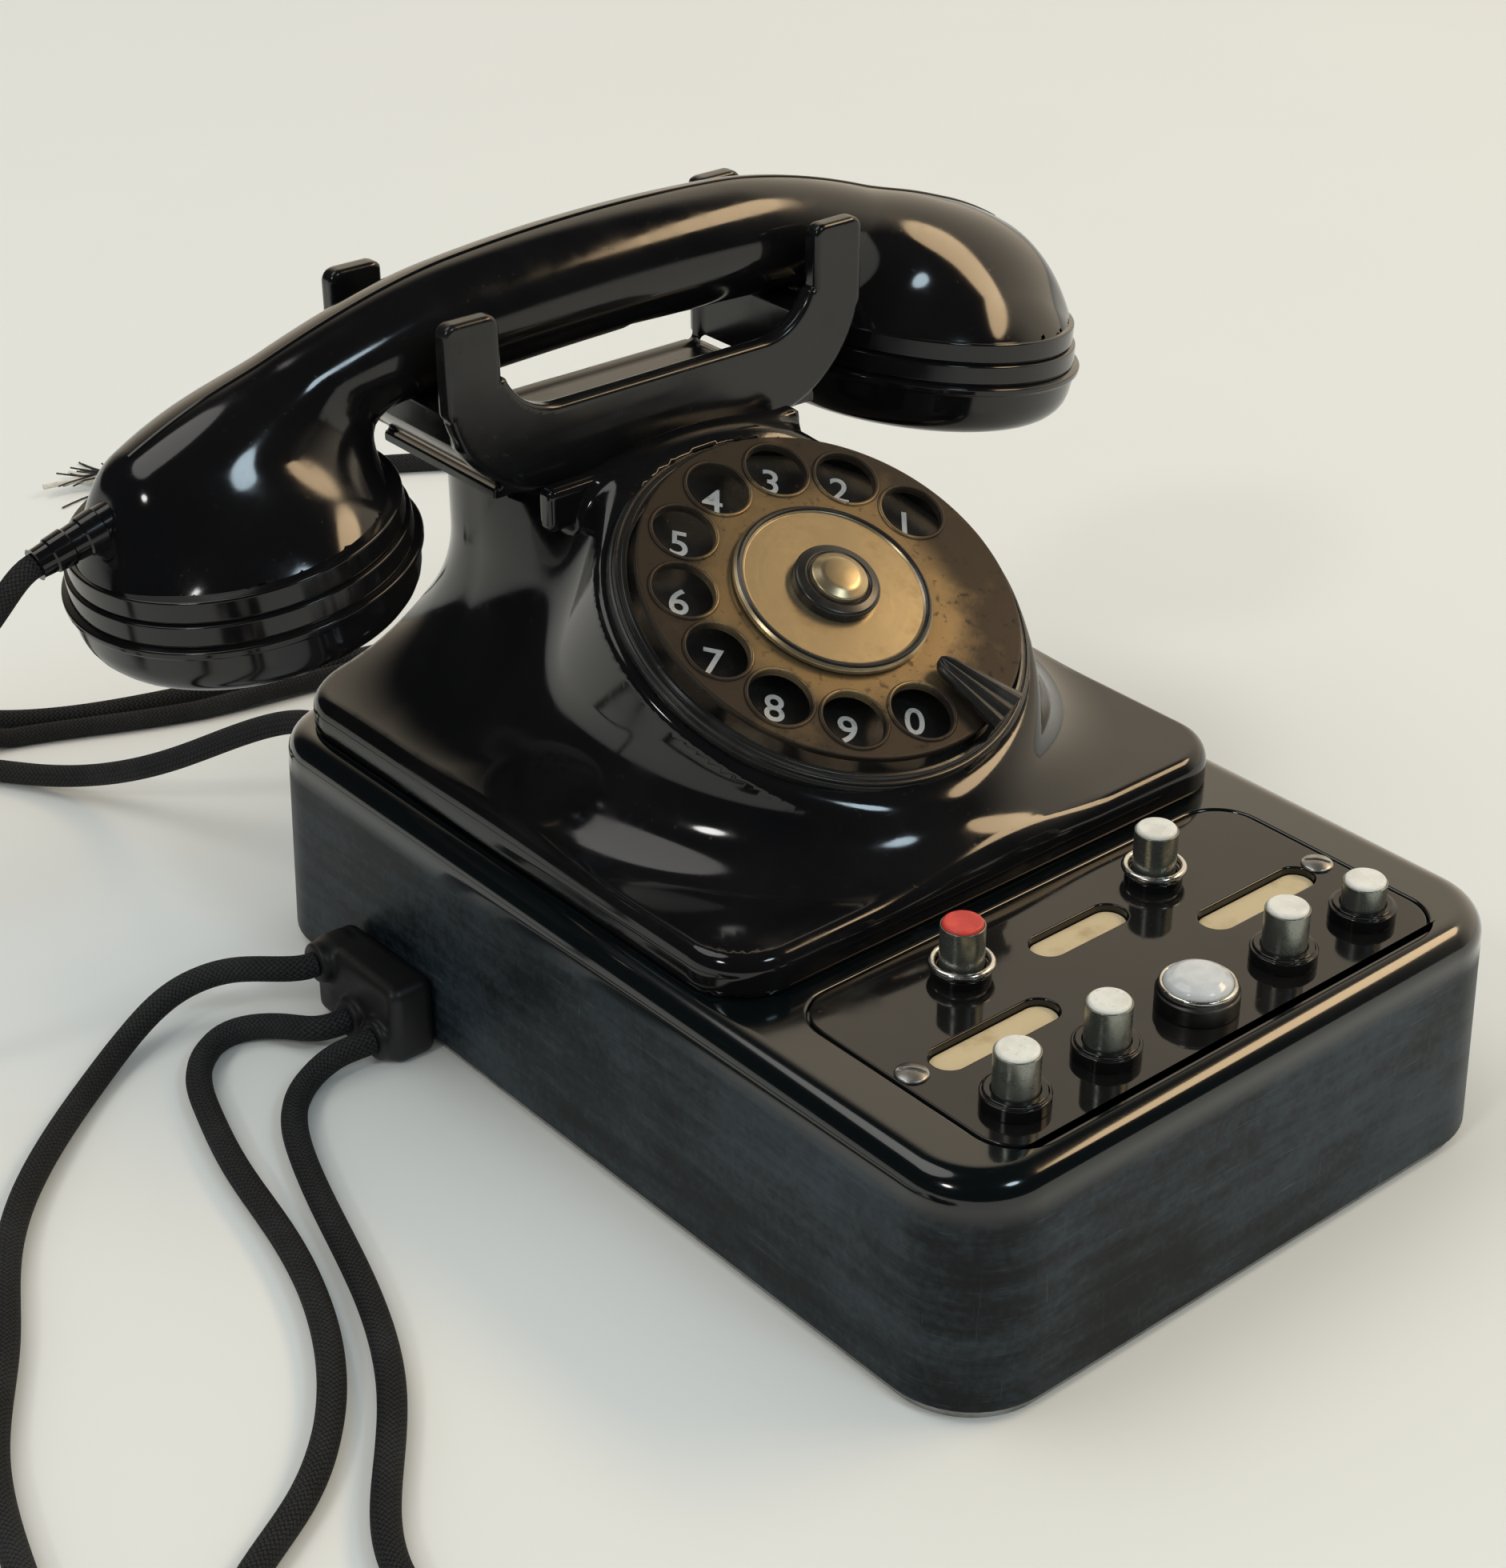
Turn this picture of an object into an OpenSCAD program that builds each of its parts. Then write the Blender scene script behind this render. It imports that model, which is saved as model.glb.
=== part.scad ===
// Bakelite desk telephone standing on a push-key intercom box.
// Millimetres, +Z up, +X to the right, the dial faces -Y. The origin is the middle of the bottom plate's foot.

/* [Intercom box] */
// Width of the box at its foot
base_w = 138; // [134:1:160]
// Length of the box, front to back
base_l = 209; // [205:1:240]
// Height of the box
base_h = 47.5; // [46:0.5:60]
// Draft of the box walls in degrees
base_draft = 2; // [0.5:0.5:3]
// Corner radius of the box in plan
base_corner_r = 17; // [14:1:20]
// Radius of the rounded top edge
base_edge_r = 5; // [2:0.5:6]
// Wall thickness of the box
base_wall = 3.5; // [2.5:0.5:4]
// Thickness of the box top
base_top_t = 5; // [4:0.5:6]
// Thickness of the steel bottom plate
plate_t = 2; // [1:0.5:3]
// Inset of the bottom plate from the foot of the walls
plate_inset = 1.5; // [0.5:0.5:3]
// Radius of the bottom plate screws
plate_screw_r = 1.5; // [1:0.25:2]
// Distance of the screw posts from the outside of the walls
post_inset = 13; // [12:0.5:16]

/* [Key panel] */
// Width of the key panel
panel_w = 108; // [106:1:112]
// Length of the key panel, front to back
panel_l = 55; // [52:1:58]
// Thickness of the key panel
panel_t = 2; // [1.5:0.5:2.5]
// Corner radius of the key panel
panel_r = 9; // [5:1:12]
// Groove around the key panel
panel_groove = 0.6; // [0.3:0.1:1]
// Distance of the panel from the front of the housing
panel_margin = 2.5; // [1:0.5:4]
// Distance of the panel screws from the panel's sides
panel_screw_inset = 3.6; // [3.2:0.2:5]
// Radius of the panel screw heads
panel_screw_r = 2.6; // [2:0.2:3]
// Length of the two front label windows
label_l = 28; // [22:1:30]
// Length of the rear label window
label_rear_l = 22; // [16:1:26]
// Width of the label windows
label_w = 7; // [5:0.5:8]

/* [Keys and lamp] */
// Radius of a key
key_r = 4; // [3:0.25:4.5]
// Height of a key above the panel
key_proud = 9; // [8:0.5:11]
// Travel of a key
key_travel = 4; // [3:0.5:4]
// How far the latched key stands down
latch_drop = 3; // [2:0.5:3]
// Height of the coloured cap on a key
key_cap_h = 2; // [1.5:0.25:3]
// Distance of the outer front keys from the middle
key_outer_x = 43; // [40:0.5:44]
// Distance of the inner front keys from the middle
key_inner_x = 22; // [18:0.5:24]
// Distance of the rear keys from the middle
key_rear_x = 24; // [20:0.5:28]
// Distance of the front row from the front of the panel
key_front_in = 11; // [9:0.5:13]
// Distance of the rear row from the back of the panel
key_rear_in = 11.5; // [9:0.5:13]
// Radius of the key collars
collar_r = 6; // [5.5:0.25:7]
// Height of the key collars
collar_h = 3; // [2:0.25:3.5]
// Running clearance of the keys in their collars
key_clear = 0.08; // [0.04:0.01:0.1]
// Radius of the lamp bezel
lamp_r = 7.3; // [6.5:0.1:8.5]
// Height of the lamp bezel
lamp_ring_h = 4.2; // [3:0.2:6]

/* [Telephone housing] */
// Width of the housing's skirt
body_w = 127; // [120:1:130]
// Length of the housing's skirt
body_l = 140.5; // [136:0.5:146]
// Distance of the housing from the back of the box
body_back_in = 4.5; // [4:0.5:8]
// Height of the skirt
skirt_h = 7.8; // [6:0.2:10]
// Radius of the skirt's rounded edge
skirt_edge_r = 4; // [2:0.5:5]
// Corner radius of the skirt in plan
body_corner_r = 14; // [10:1:18]
// Wall thickness of the housing
body_wall = 3; // [2:0.25:3.5]
// Width of the column under the cradle
col_w = 66; // [60:1:70]
// Depth of the column
col_l = 46; // [44:1:50]
// Corner radius of the column in plan
col_r = 21; // [10:1:22]
// Height of the column above the box
col_rise = 53.5; // [50:0.5:60]
// Radius of the hollow between skirt and column
flare_r = 30; // [24:1:32]
// Width of the ledge at the front of the column's top
ledge_w = 68; // [60:1:70]
// Height of the ledge
ledge_h = 8.5; // [6:0.5:10]
// Thickness of the ledge
ledge_t = 4.2; // [3:0.2:5]

/* [Dial] */
// Distance of the dial's middle from the front of the housing
dial_setback = 47.7; // [46:0.1:52]
// Height of the finger wheel's rim above the box
dial_rise = 42; // [40:0.5:48]
// Lean of the dial from level, in degrees
dial_lean = 29; // [24:1:34]
// Radius of the finger wheel
wheel_r = 37.5; // [36:0.25:38]
// Thickness of the finger wheel
wheel_t = 1.2; // [0.8:0.1:1.6]
// Radius of a finger hole
hole_r = 5.9; // [5:0.1:6.2]
// Pitch radius of the finger holes
hole_pitch_r = 29.2; // [28.5:0.1:30]
// Angle between finger holes
hole_step = 27.7; // [25:0.1:28]
// Angle of the first finger hole
hole_first = 19.4; // [10:0.1:30]
// Radius of the card disc
card_r = 19.4; // [16:0.2:20]
// Radius of the centre button
knob_r = 8.4; // [6:0.2:10]
// Radius of the dial shaft
shaft_r = 3; // [2.5:0.25:4]
// Outer radius of the dial bezel
bezel_r = 41.2; // [40.6:0.1:42]
// Radius of the boss under the dial
boss_r = 43; // [42.4:0.2:45]
// Growth of the boss radius from top to foot
boss_spread = 8; // [4:0.5:10]
// Radius of the hollow between skirt and boss
boss_flare_r = 16; // [10:1:18]
// Teeth of the main gear
gear_teeth = 40; // [36:2:44]
// Teeth of the governor pinion
pinion_teeth = 10; // [8:1:12]
// Tooth module of the gears
gear_module = 1; // [0.9:0.05:1.05]

/* [Cradle and handset] */
// Distance of the cradle's middle from the back of the housing
cradle_in = 27; // [26.5:0.5:29]
// Half the width of the cradle over its prongs
prong_x = 51; // [48:0.5:56]
// Width of a prong
prong_w = 14; // [10:0.5:16]
// Thickness of the cradle plates
prong_t = 4; // [3:0.25:4.5]
// Height of the prongs above the cradle floor
prong_h = 34.6; // [30:0.2:37]
// Height of the cradle's front plate above the cradle floor
saddle_h = 14.8; // [14.2:0.2:16]
// Height of the two end saddles above the cradle floor
rest_h = 14.4; // [13:0.2:14.6]
// Thickness of the cradle floor
saddle_t = 2.2; // [2:0.2:3]
// Gap between column and cradle at rest
cradle_gap = 2; // [1:0.25:3]
// Travel of the cradle
cradle_travel = 4; // [3:0.5:5]
// Radius of the cradle plunger
plunger_r = 4; // [3:0.25:5]
// Radius of the handle
handle_r = 11.25; // [10:0.25:13]
// Radius of the handle's bow
bow_r = 385; // [340:5:430]
// Gap between the handle and the cradle plates
handle_gap = 5; // [4:0.25:6]
// Distance of the cap centres from the middle
cap_x = 84; // [80:0.5:90]
// Drop of the cap seats below the handle's middle line
cap_drop = 25.5; // [23:0.5:28]
// Lean of the caps towards each other, in degrees
cap_lean = 10; // [5:1:15]
// Radius of the caps
cap_r = 34.5; // [32:0.5:36]
// Height of the caps
cap_h = 20; // [17:0.5:24]
// Wall thickness of the caps
cap_wall = 3.5; // [2.5:0.25:4]
// Radius of the bells at the caps
bell_r = 30.1; // [28:0.1:31]
// Height of the bells above the caps
bell_h = 16.4; // [14:0.2:20]
// Radius of the bells' shoulders
bell_edge_r = 11.4; // [8:0.2:13]
// Slope of the bells' sides, in degrees from upright
bell_slope = 31; // [24:1:36]

/* [Cords] */
// Diameter of the cords from the box
cord_d = 5; // [4:0.1:5.2]
// Diameter of the handset cord
handset_cord_d = 4.4; // [4:0.1:5]
// Turns of the put-away coil in each of its two layers
coil_turns = 3; // [2:1:4]
// Step between the turns of the coil
coil_step = 6.3; // [6.2:0.05:6.8]
// Height between the layers of the coil
coil_rise = 6; // [5.8:0.1:7]

/* [Hidden] */

$fn = 48;
bakelite = "#141416";
plated = "#8e948c";
cloth = "#24262a";
eps = 0.01;
seat_gap = 0.3;
run_gap = 0.05;
arc_steps = 6;

// Places of the main groups
body_back = base_l / 2 - body_back_in;
body_front = body_back - body_l;
body_y = (body_back + body_front) / 2;
panel_y = body_front - panel_margin - panel_l / 2;
cradle_y = body_back - cradle_in;
dial_y = body_front + dial_setback;
dial_z = base_h + dial_rise;
col_top = base_h + col_rise;
skirt_top = base_h + skirt_h;
housing_screw_in = [12, 20];
ledge_gap = 2;
ledge_rise = 5;

// Heights inside the box
top_under = base_h - base_top_t;
panel_seat = base_h - panel_t;
guide_z = top_under - 12;
guide_t = 1.5;

// Key places: four in the front row, two in the rear row, with how far each stands down at rest
key_front_y = panel_y - panel_l / 2 + key_front_in;
key_rear_y = panel_y + panel_l / 2 - key_rear_in;
keys = [
    [-key_outer_x, key_front_y, 0],
    [-key_inner_x, key_front_y, 0],
    [key_inner_x, key_front_y, 0],
    [key_outer_x, key_front_y, latch_drop],
    [-key_rear_x, key_rear_y, 0],
    [key_rear_x, key_rear_y, 0]];
key_shaft_r = 1.6;
key_sleeve_low = top_under + 1;
key_shaft_low = guide_z - 6;
clip_t = 1;
key_foot_clear = 0.5;

// Label windows: middle x, middle y, length
label_front_y = panel_y - 0.5;
label_rear_y = panel_y + 12.8;
label_side_in = 22;
label_shift = 1.5;
labels = [
    [label_side_in - panel_w / 2, label_front_y, label_l],
    [label_shift, label_rear_y, label_rear_l],
    [panel_w / 2 - label_side_in + label_shift, label_front_y, label_l]];
card_t = 0.5;
card_clear = 0.2;

// Dial heights along its own axis, from the finger wheel's rim
wheel_rise = 1;
bezel_low = -6;
bezel_top = -2.5;
ring_in = 37.8;
dial_plate_t = 1.5;
dial_seat = bezel_low - dial_plate_t;
dial_plate_r = boss_r - body_wall - seat_gap;
seat_t = 3;
boss_depth = 82;
boss_foot_y = dial_y + (dial_z - skirt_top) * tan(dial_lean);
boss_foot_r = boss_r + boss_spread * (dial_z - skirt_top) / boss_depth;
gear_z = -15;
gear_t = 2;
back_plate_z = -24;
back_plate_t = 1.5;
pillar_r = 2.5;
pillar_pitch = 29;
pillar_angles = [30, 150, 270];
gear_gap = 0.3;
spindle_r = 1.5;
governor_r = 8;
governor_angle = 90;
gear_pitch_r = gear_module * gear_teeth / 2;
pinion_pitch_r = gear_module * pinion_teeth / 2;
gear_distance = gear_pitch_r + pinion_pitch_r;
stop_angle = -70;
stop_low = 2.2;
stop_t = 1.6;

// Cradle and handset heights
saddle_low = col_top + cradle_gap;
saddle_top = saddle_low + saddle_t;
prong_top = saddle_top + prong_h;
plate_gap = handle_r + handle_gap;
plate_top = saddle_top + saddle_h;
rest_z = saddle_top + rest_h;
belly_r = 21;
belly_x = prong_x - belly_r;
belly_z = saddle_low + belly_r;
rest_x = prong_x - 5;
bow_fall = bow_r - sqrt(bow_r * bow_r - rest_x * rest_x);
handle_z = rest_z + seat_gap + handle_r + bow_fall;
handle_end = cap_x - 6;
throat_r = 16;
throat_l = 36;
end_proud = 0.6;
cap_z = handle_z - cap_drop;
neck_r = cap_r - 2.5;
capsule_r = cap_r - 2 * cap_wall;
capsule_h = 10;
ring_in_cap = [3.5, 9];
boot_root = [-cap_x - 21, cradle_y, cap_z + 6.2];
boot_tip = [-124, 73, 110];
boot_r = 4.4;
plunger_l = 34;

// Ringer and other pieces inside the box
gong_r = 24;
gong_h = 13;
gong_x = 28;
ringer_back_in = 64.5;
gong_y = base_l / 2 - ringer_back_in;
gong_wall = 1.5;
gong_z = plate_t + 16;
post_r = 4;
clapper_y = gong_y + 34;
clapper_ball_r = 2.5;
coil_x = 13;
coil_y = gong_y + 44;
ringer_coil_r = 9;
ringer_coil_h = 22;
frame_t = 2;
condenser_size = [26, 40, 30];
condenser_side_in = 17;
coil_side_in = 27;
coil_size = [22, 40, 26];
coil_cheek = 4;
coil_set_back = 6;
inner_back_in = 100.5;
coil_front_y = base_l / 2 - inner_back_in - coil_size[1] + coil_set_back;
terminal_size = [8, 12, 10];
terminal_count = 6;

// Cable outlets on the left wall and the rear wall
gland_y = 56;
gland_len = 28;
gland_out = 12;
gland_h = 17;
cord_r = cord_d / 2;
handset_cord_r = handset_cord_d / 2;
grommet_out = 4.5;
grommet_r = 5;
rear_wall = base_l / 2;
line_exit = [-49, rear_wall + grommet_out, 36];
handset_exit = [50, rear_wall + grommet_out, 14];

// Cord routes, chosen by hand: handset cord, rear line cord, looped cord and station cord
handset_route = [
    [-124, 73, 110], [-131, 73, 105], [-139, 74, 96], [-147, 76, 80], [-155, 79, 60], [-163, 85, 38],
    [-172, 97, 18], [-184, 115, 6], [-198, 136, 2.3], [-204, 160, 2.3], [-194, 184, 2.3], [-170, 202, 2.3],
    [-140, 210, 3], [-122, 213, 6.5], [-106, 212, 9], [-91, 209, 6.5], [-76, 205, 2.5], [-34, 188, 2.3],
    [18, 176, 2.3], [40, 160, 2.3], [50, 140, 6], [50, 122, 12], [50, 109, 14]];
line_route = [
    [-49, 109, 36], [-50, 118, 34], [-55, 132, 27], [-62, 148, 17], [-70, 166, 8], [-79, 183, 3.5],
    [-89, 198, 2.6], [-103, 211, 2.6], [-112, 225, 2.6], [-107, 237, 2.6], [-94, 237, 2.6], [-84, 226, 2.6],
    [-73, 213, 2.6], [-32, 195, 2.6], [18, 183, 2.6], [62, 178, 2.6], [98, 184, 2.6], [119, 204, 2.6],
    [121, 232, 2.6], [104, 257, 2.6], [76, 277, 2.6], [44, 296, 2.6], [20, 314, 2.6]];
loop_route = [
    [-81, 66, 13], [-87, 69, 13], [-94, 77, 11.5], [-103, 82, 8], [-114, 80, 4.5], [-125, 74, 2.6],
    [-143, 60, 2.6], [-157, 46, 2.6], [-167, 31, 2.6], [-175, 16, 2.6], [-189, -7, 2.6], [-198, -33, 2.6],
    [-200, -46, 2.6], [-195, -58, 2.6], [-184, -62, 2.6], [-172, -56, 2.6], [-157, -47, 2.6], [-145, -36, 2.6],
    [-136, -23, 2.6], [-124, 11, 2.6], [-120, 33, 2.6], [-115, 51, 2.6], [-108, 65, 2.6], [-98, 70, 2.6],
    [-90, 64, 3.5], [-86, 57, 5], [-81, 56, 5]];
station_route = [
    [-81, 47, 5], [-87, 48, 4.5], [-95, 47, 2.8], [-103, 40, 2.6], [-109, 28, 2.6], [-114, 13, 2.6],
    [-123, -16, 2.6], [-132, -35, 2.6], [-142, -49, 2.6], [-152, -64, 2.6], [-156, -80, 2.6],
    [-156, -98, 2.6], [-156, -116, 2.6]];
coil_middle = [-194, -116];
coil_first_r = station_route[len(station_route) - 1][0] - coil_middle[0];
coil_low = station_route[len(station_route) - 1][2];
coil_last_r = coil_first_r - coil_turns * coil_step;
loop_rings = 24;
loop_sides = 6;
cord_sides = 8;
plug_l = 34;
plug_r = coil_low + coil_rise;

// Outline helpers: each profile point is an outward offset from the nominal wall and a height
function fillet_profile(r, off, z) =
    [for (i = [0:arc_steps]) let (a = 90 * i / arc_steps) [off - r + r * cos(a), z - r + r * sin(a)]];
function flare_profile(r, z) =
    [for (i = [0:arc_steps]) let (a = 90 - 90 * i / arc_steps) [r - r * cos(a), z - r * sin(a)]];
function draft_off(z) = -(z - plate_t) * tan(base_draft);
function reversed(list) = [for (i = [len(list) - 1:-1:0]) list[i]];
function arc2(cx, cy, r, a0, a1, n = arc_steps) =
    [for (i = [0:n]) let (a = a0 + (a1 - a0) * i / n) [cx + r * cos(a), cy + r * sin(a)]];

// Block with upright round corners, whose wall follows a profile of offsets
module rounded_block(half_x, half_y, corner_r, profile) {
    last = len(profile) - 1;
    for (sx = [-1, 1], sy = [-1, 1])
        translate([sx * (half_x - corner_r), sy * (half_y - corner_r), 0])
            rotate_extrude()
                polygon(concat([[0, profile[0][1]]],
                    [for (p = profile) [corner_r + p[0], p[1]]],
                    [[0, profile[last][1]]]));
    wall_slab(half_x, half_y - corner_r, profile);
    rotate(90) wall_slab(half_y, half_x - corner_r, profile);
}

// Straight stretch of such a block, from one flank to the other
module wall_slab(half_across, half_along, profile) {
    outline = concat(
        [for (p = profile) [half_across + p[0], p[1]]],
        reversed([for (p = profile) [-half_across - p[0], p[1]]]));
    rotate([90, 0, 0])
        linear_extrude(2 * half_along, center = true)
            polygon(outline);
}

module ring(r_out, r_in, low, high) {
    rotate_extrude()
        polygon([[r_in, low], [r_out, low], [r_out, high], [r_in, high]]);
}

// Round-ended slot along X
module slot(length, width, low, high) {
    for (s = [-1, 1])
        translate([s * (length - width) / 2, 0, low])
            cylinder(h = high - low, d = width);
    translate([-(length - width) / 2, -width / 2, low])
        cube([length - width, width, high - low]);
}

module at_dial() {
    translate([0, dial_y, dial_z]) rotate([dial_lean, 0, 0]) children();
}

// Frame of a handset cap, side -1 for the mouth and 1 for the ear
module at_cap(side) {
    translate([side * cap_x, cradle_y, cap_z]) rotate([0, side * cap_lean, 0]) children();
}

module at_posts() {
    for (sx = [-1, 1], sy = [-1, 1])
        translate([sx * (base_w / 2 - post_inset), sy * (base_l / 2 - post_inset), 0]) children();
}

// Runs a child along the line from one point to another, its own Z on that line
module along(from, to) {
    d = to - from;
    translate(from)
        rotate([0, acos(d[2] / norm(d)), atan2(d[1], d[0])])
            children();
}

// Intercom box

base_outer = concat(
    [[0, plate_t]],
    fillet_profile(base_edge_r, draft_off(base_h - base_edge_r), base_h));
base_inner = [
    [-base_wall, plate_t - eps],
    [draft_off(top_under) - base_wall, top_under]];

module base_shell() {
    color(bakelite)
    difference() {
        union() {
            difference() {
                rounded_block(base_w / 2, base_l / 2, base_corner_r, base_outer);
                rounded_block(base_w / 2, base_l / 2, base_corner_r, base_inner);
            }
            at_posts() translate([0, 0, plate_t]) cylinder(h = top_under - plate_t + eps, r = post_r);
        }
        translate([0, panel_y, 0])
            rounded_block(panel_w / 2, panel_l / 2, panel_r, [[0, panel_seat], [0, base_h + 1]]);
        at_posts() translate([0, 0, plate_t - 1]) cylinder(h = 13, r = plate_screw_r + run_gap);
        for (k = keys)
            translate([k[0], k[1], top_under - 1]) cylinder(h = base_top_t + 2, r = key_r + 2 * key_clear);
        lamp_place()
            translate([0, 0, top_under - 1]) cylinder(h = base_top_t + 2, r = lamp_socket_r + seat_gap);
        panel_screw_places() translate([0, 0, top_under - 1]) cylinder(h = base_top_t + 2, r = 1.25);
        wire_hole();
        housing_screw_places() translate([0, 0, top_under - 1]) cylinder(h = base_top_t + 2, r = 1.6);
        gland_tongue(0);
        for (p = [line_exit, handset_exit])
            translate([p[0], p[1], p[2]]) rotate([90, 0, 0]) cylinder(h = 16, r = grommet_r - 1.5);
    }
}

// Opening that lets the wires pass between box and housing
module wire_hole() {
    translate([-20, body_y - 10, top_under - 1]) cube([40, 30, base_top_t + 2]);
}

module base_plate() {
    color("#3a3c3e")
    difference() {
        rounded_block(base_w / 2 - plate_inset, base_l / 2 - plate_inset, base_corner_r - plate_inset,
            [[0, 0], [0, plate_t]]);
        at_posts() plate_screw_form(run_gap);
    }
}

module plate_screw_form(gap) {
    head_r = 2 * plate_screw_r;
    translate([0, 0, -gap]) cylinder(h = plate_t + 2 * gap, r1 = head_r + gap, r2 = plate_screw_r + gap);
}

// Screws of the bottom plate, and those that hold the housing on the box
module case_screws() {
    color(plated) {
        at_posts() {
            plate_screw_form(0);
            translate([0, 0, plate_t - eps]) cylinder(h = 10, r = plate_screw_r);
        }
        housing_screw_places() {
            translate([0, 0, top_under - 2]) cylinder(h = 2, r = 3);
            translate([0, 0, top_under - eps]) cylinder(h = base_top_t + skirt_h - 4, r = 1.5);
        }
    }
}

module panel_screw_places() {
    for (s = [-1, 1])
        translate([s * (panel_w / 2 - panel_screw_inset), panel_y, 0]) children();
}

module key_panel() {
    color(bakelite)
    difference() {
        translate([0, panel_y, 0])
            rounded_block(panel_w / 2 - panel_groove, panel_l / 2 - panel_groove, panel_r - panel_groove,
                [[0, panel_seat], [0, base_h]]);
        for (k = keys)
            translate([k[0], k[1], panel_seat - 1]) cylinder(h = panel_t + 2, r = key_r + key_clear);
        for (l = labels)
            translate([l[0], l[1], 0]) slot(l[2], label_w, panel_seat - 1, base_h + 1);
        lamp_place() translate([0, 0, panel_seat - 1]) cylinder(h = panel_t + 2, r = lamp_socket_r + seat_gap);
        panel_screw_places() translate([0, 0, panel_seat - 1]) cylinder(h = panel_t + 2, r = 1.3);
    }
}

module panel_screws() {
    color("#c9c4b4")
    panel_screw_places()
        difference() {
            union() {
                translate([0, 0, base_h])
                    rotate_extrude()
                        polygon([[0, 0], [panel_screw_r, 0], [panel_screw_r, 0.5],
                            [panel_screw_r * 0.6, 1.1], [0, 1.2]]);
                translate([0, 0, top_under]) cylinder(h = base_top_t + eps, r = 1.2);
            }
            translate([-0.4, -panel_screw_r - 1, base_h + 0.6]) cube([0.8, 2 * panel_screw_r + 2, 2]);
        }
}

module label_cards() {
    color("#e2cf9c")
    for (l = labels)
        translate([l[0], l[1], 0])
            slot(l[2] - 2 * card_clear, label_w - 2 * card_clear, panel_seat, panel_seat + card_t);
}

module collar() {
    bore = key_r + key_clear;
    translate([0, 0, base_h])
        rotate_extrude()
            polygon([[bore, 0], [collar_r, 0], [collar_r, collar_h - 1.4], [collar_r - 0.6, collar_h - 0.3],
                [collar_r - 1, collar_h], [bore, collar_h]]);
}

// Turned collars round the front keys, and plain ones under the rear keys' bright rings
module key_collars() {
    color(bakelite) {
        for (i = [0:3]) translate([keys[i][0], keys[i][1], 0]) collar();
        for (i = [4, 5])
            translate([keys[i][0], keys[i][1], base_h])
                ring(collar_r - 0.7, key_r + key_clear, 0, collar_h - 1);
    }
}

module collar_rings() {
    color("#d9d9d4")
    for (i = [4, 5])
        translate([keys[i][0], keys[i][1], base_h + collar_h - 1])
            rotate_extrude()
                polygon(concat([[key_r + key_clear, 0]], arc2(collar_r - 0.7, 0.7, 0.7, -90, 90),
                    [[key_r + key_clear, 1.4]]));
}

// A push key: plated sleeve and shaft, with a clip under the guide bracket
module key_stem(i) {
    cap_low = base_h + key_proud - key_cap_h;
    color(plated)
    translate([keys[i][0], keys[i][1], -keys[i][2]]) {
        translate([0, 0, key_sleeve_low]) cylinder(h = cap_low - key_sleeve_low, r = key_r);
        translate([0, 0, key_shaft_low]) cylinder(h = key_sleeve_low - key_shaft_low + eps, r = key_shaft_r);
        translate([0, 0, guide_z - clip_t - seat_gap]) cylinder(h = clip_t, r = 2 * key_shaft_r);
    }
}

module key_cap(i) {
    cap_low = base_h + key_proud - key_cap_h;
    edge = 0.6;
    color(i == 4 ? "#c8402c" : "#e9e5d8")
    translate([keys[i][0], keys[i][1], cap_low - keys[i][2]])
        rotate_extrude()
            polygon(concat([[0, 0], [key_r, 0]],
                arc2(key_r - edge, key_cap_h - edge, edge, 0, 90), [[0, key_cap_h]]));
}

// Bracket under the box top that guides the key shafts, hung on two legs
module key_bracket() {
    half_x = key_outer_x + 6;
    low_y = key_front_y - 5;
    deep = key_rear_y - key_front_y + 10;
    leg_y = (key_front_y + key_rear_y) / 2 - 4;
    color("#7d8083")
    difference() {
        union() {
            translate([-half_x, low_y, guide_z]) cube([2 * half_x, deep, guide_t]);
            for (s = [-1, 1])
                translate([s * (half_x - 1) - 1, leg_y, guide_z]) cube([2, 8, top_under - guide_z]);
        }
        for (k = keys)
            translate([k[0], k[1], guide_z - 1]) cylinder(h = guide_t + 2, r = key_shaft_r + run_gap);
        lamp_place() translate([0, 0, guide_z - 1]) cylinder(h = guide_t + 2, r = lamp_socket_r - 1);
    }
}

// Spring piles: a stack on the bottom plate with leaves under each key, and one under the cradle's plunger
module contact_springs() {
    leaf_low = plate_t + 9;
    leaf_top = key_shaft_low - key_travel - latch_drop - key_foot_clear;
    color("#b98f4a")
    for (k = keys) {
        translate([k[0] - 3, k[1] + 6, plate_t]) cube([6, 6, leaf_top - plate_t]);
        for (z = [leaf_low, (leaf_low + leaf_top) / 2, leaf_top - 0.4])
            translate([k[0] - 2, k[1] - 4, z]) cube([4, 10 + eps, 0.4]);
    }
    color("#b98f4a") hook_springs();
}

lamp_socket_r = 5;
lamp_floor = guide_z + guide_t;

module lamp_place() {
    translate([0, key_front_y, 0]) children();
}

// Bezel with a milled grip around its foot
module lamp_ring() {
    grip = 28;
    color("#2b2c2e")
    lamp_place()
    translate([0, 0, base_h])
    difference() {
        ring(lamp_r, lamp_r - 1.3, 0, lamp_ring_h);
        for (i = [0:grip - 1])
            rotate(i * 360 / grip)
                translate([lamp_r + 0.25, 0, -1]) cylinder(h = lamp_ring_h, r = 0.5, $fn = 16);
    }
}

module lamp_lens() {
    lens_r = lamp_r - 1.3 - run_gap;
    color("#e6ecee")
    lamp_place()
    translate([0, 0, base_h])
        rotate_extrude()
            polygon(concat([[0, 0], [lens_r, 0], [lens_r, lamp_ring_h]],
                [for (i = [1:8]) let (a = 90 * i / 8) [lens_r * cos(a), lamp_ring_h + 2.6 * sin(a)]]));
}

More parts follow.
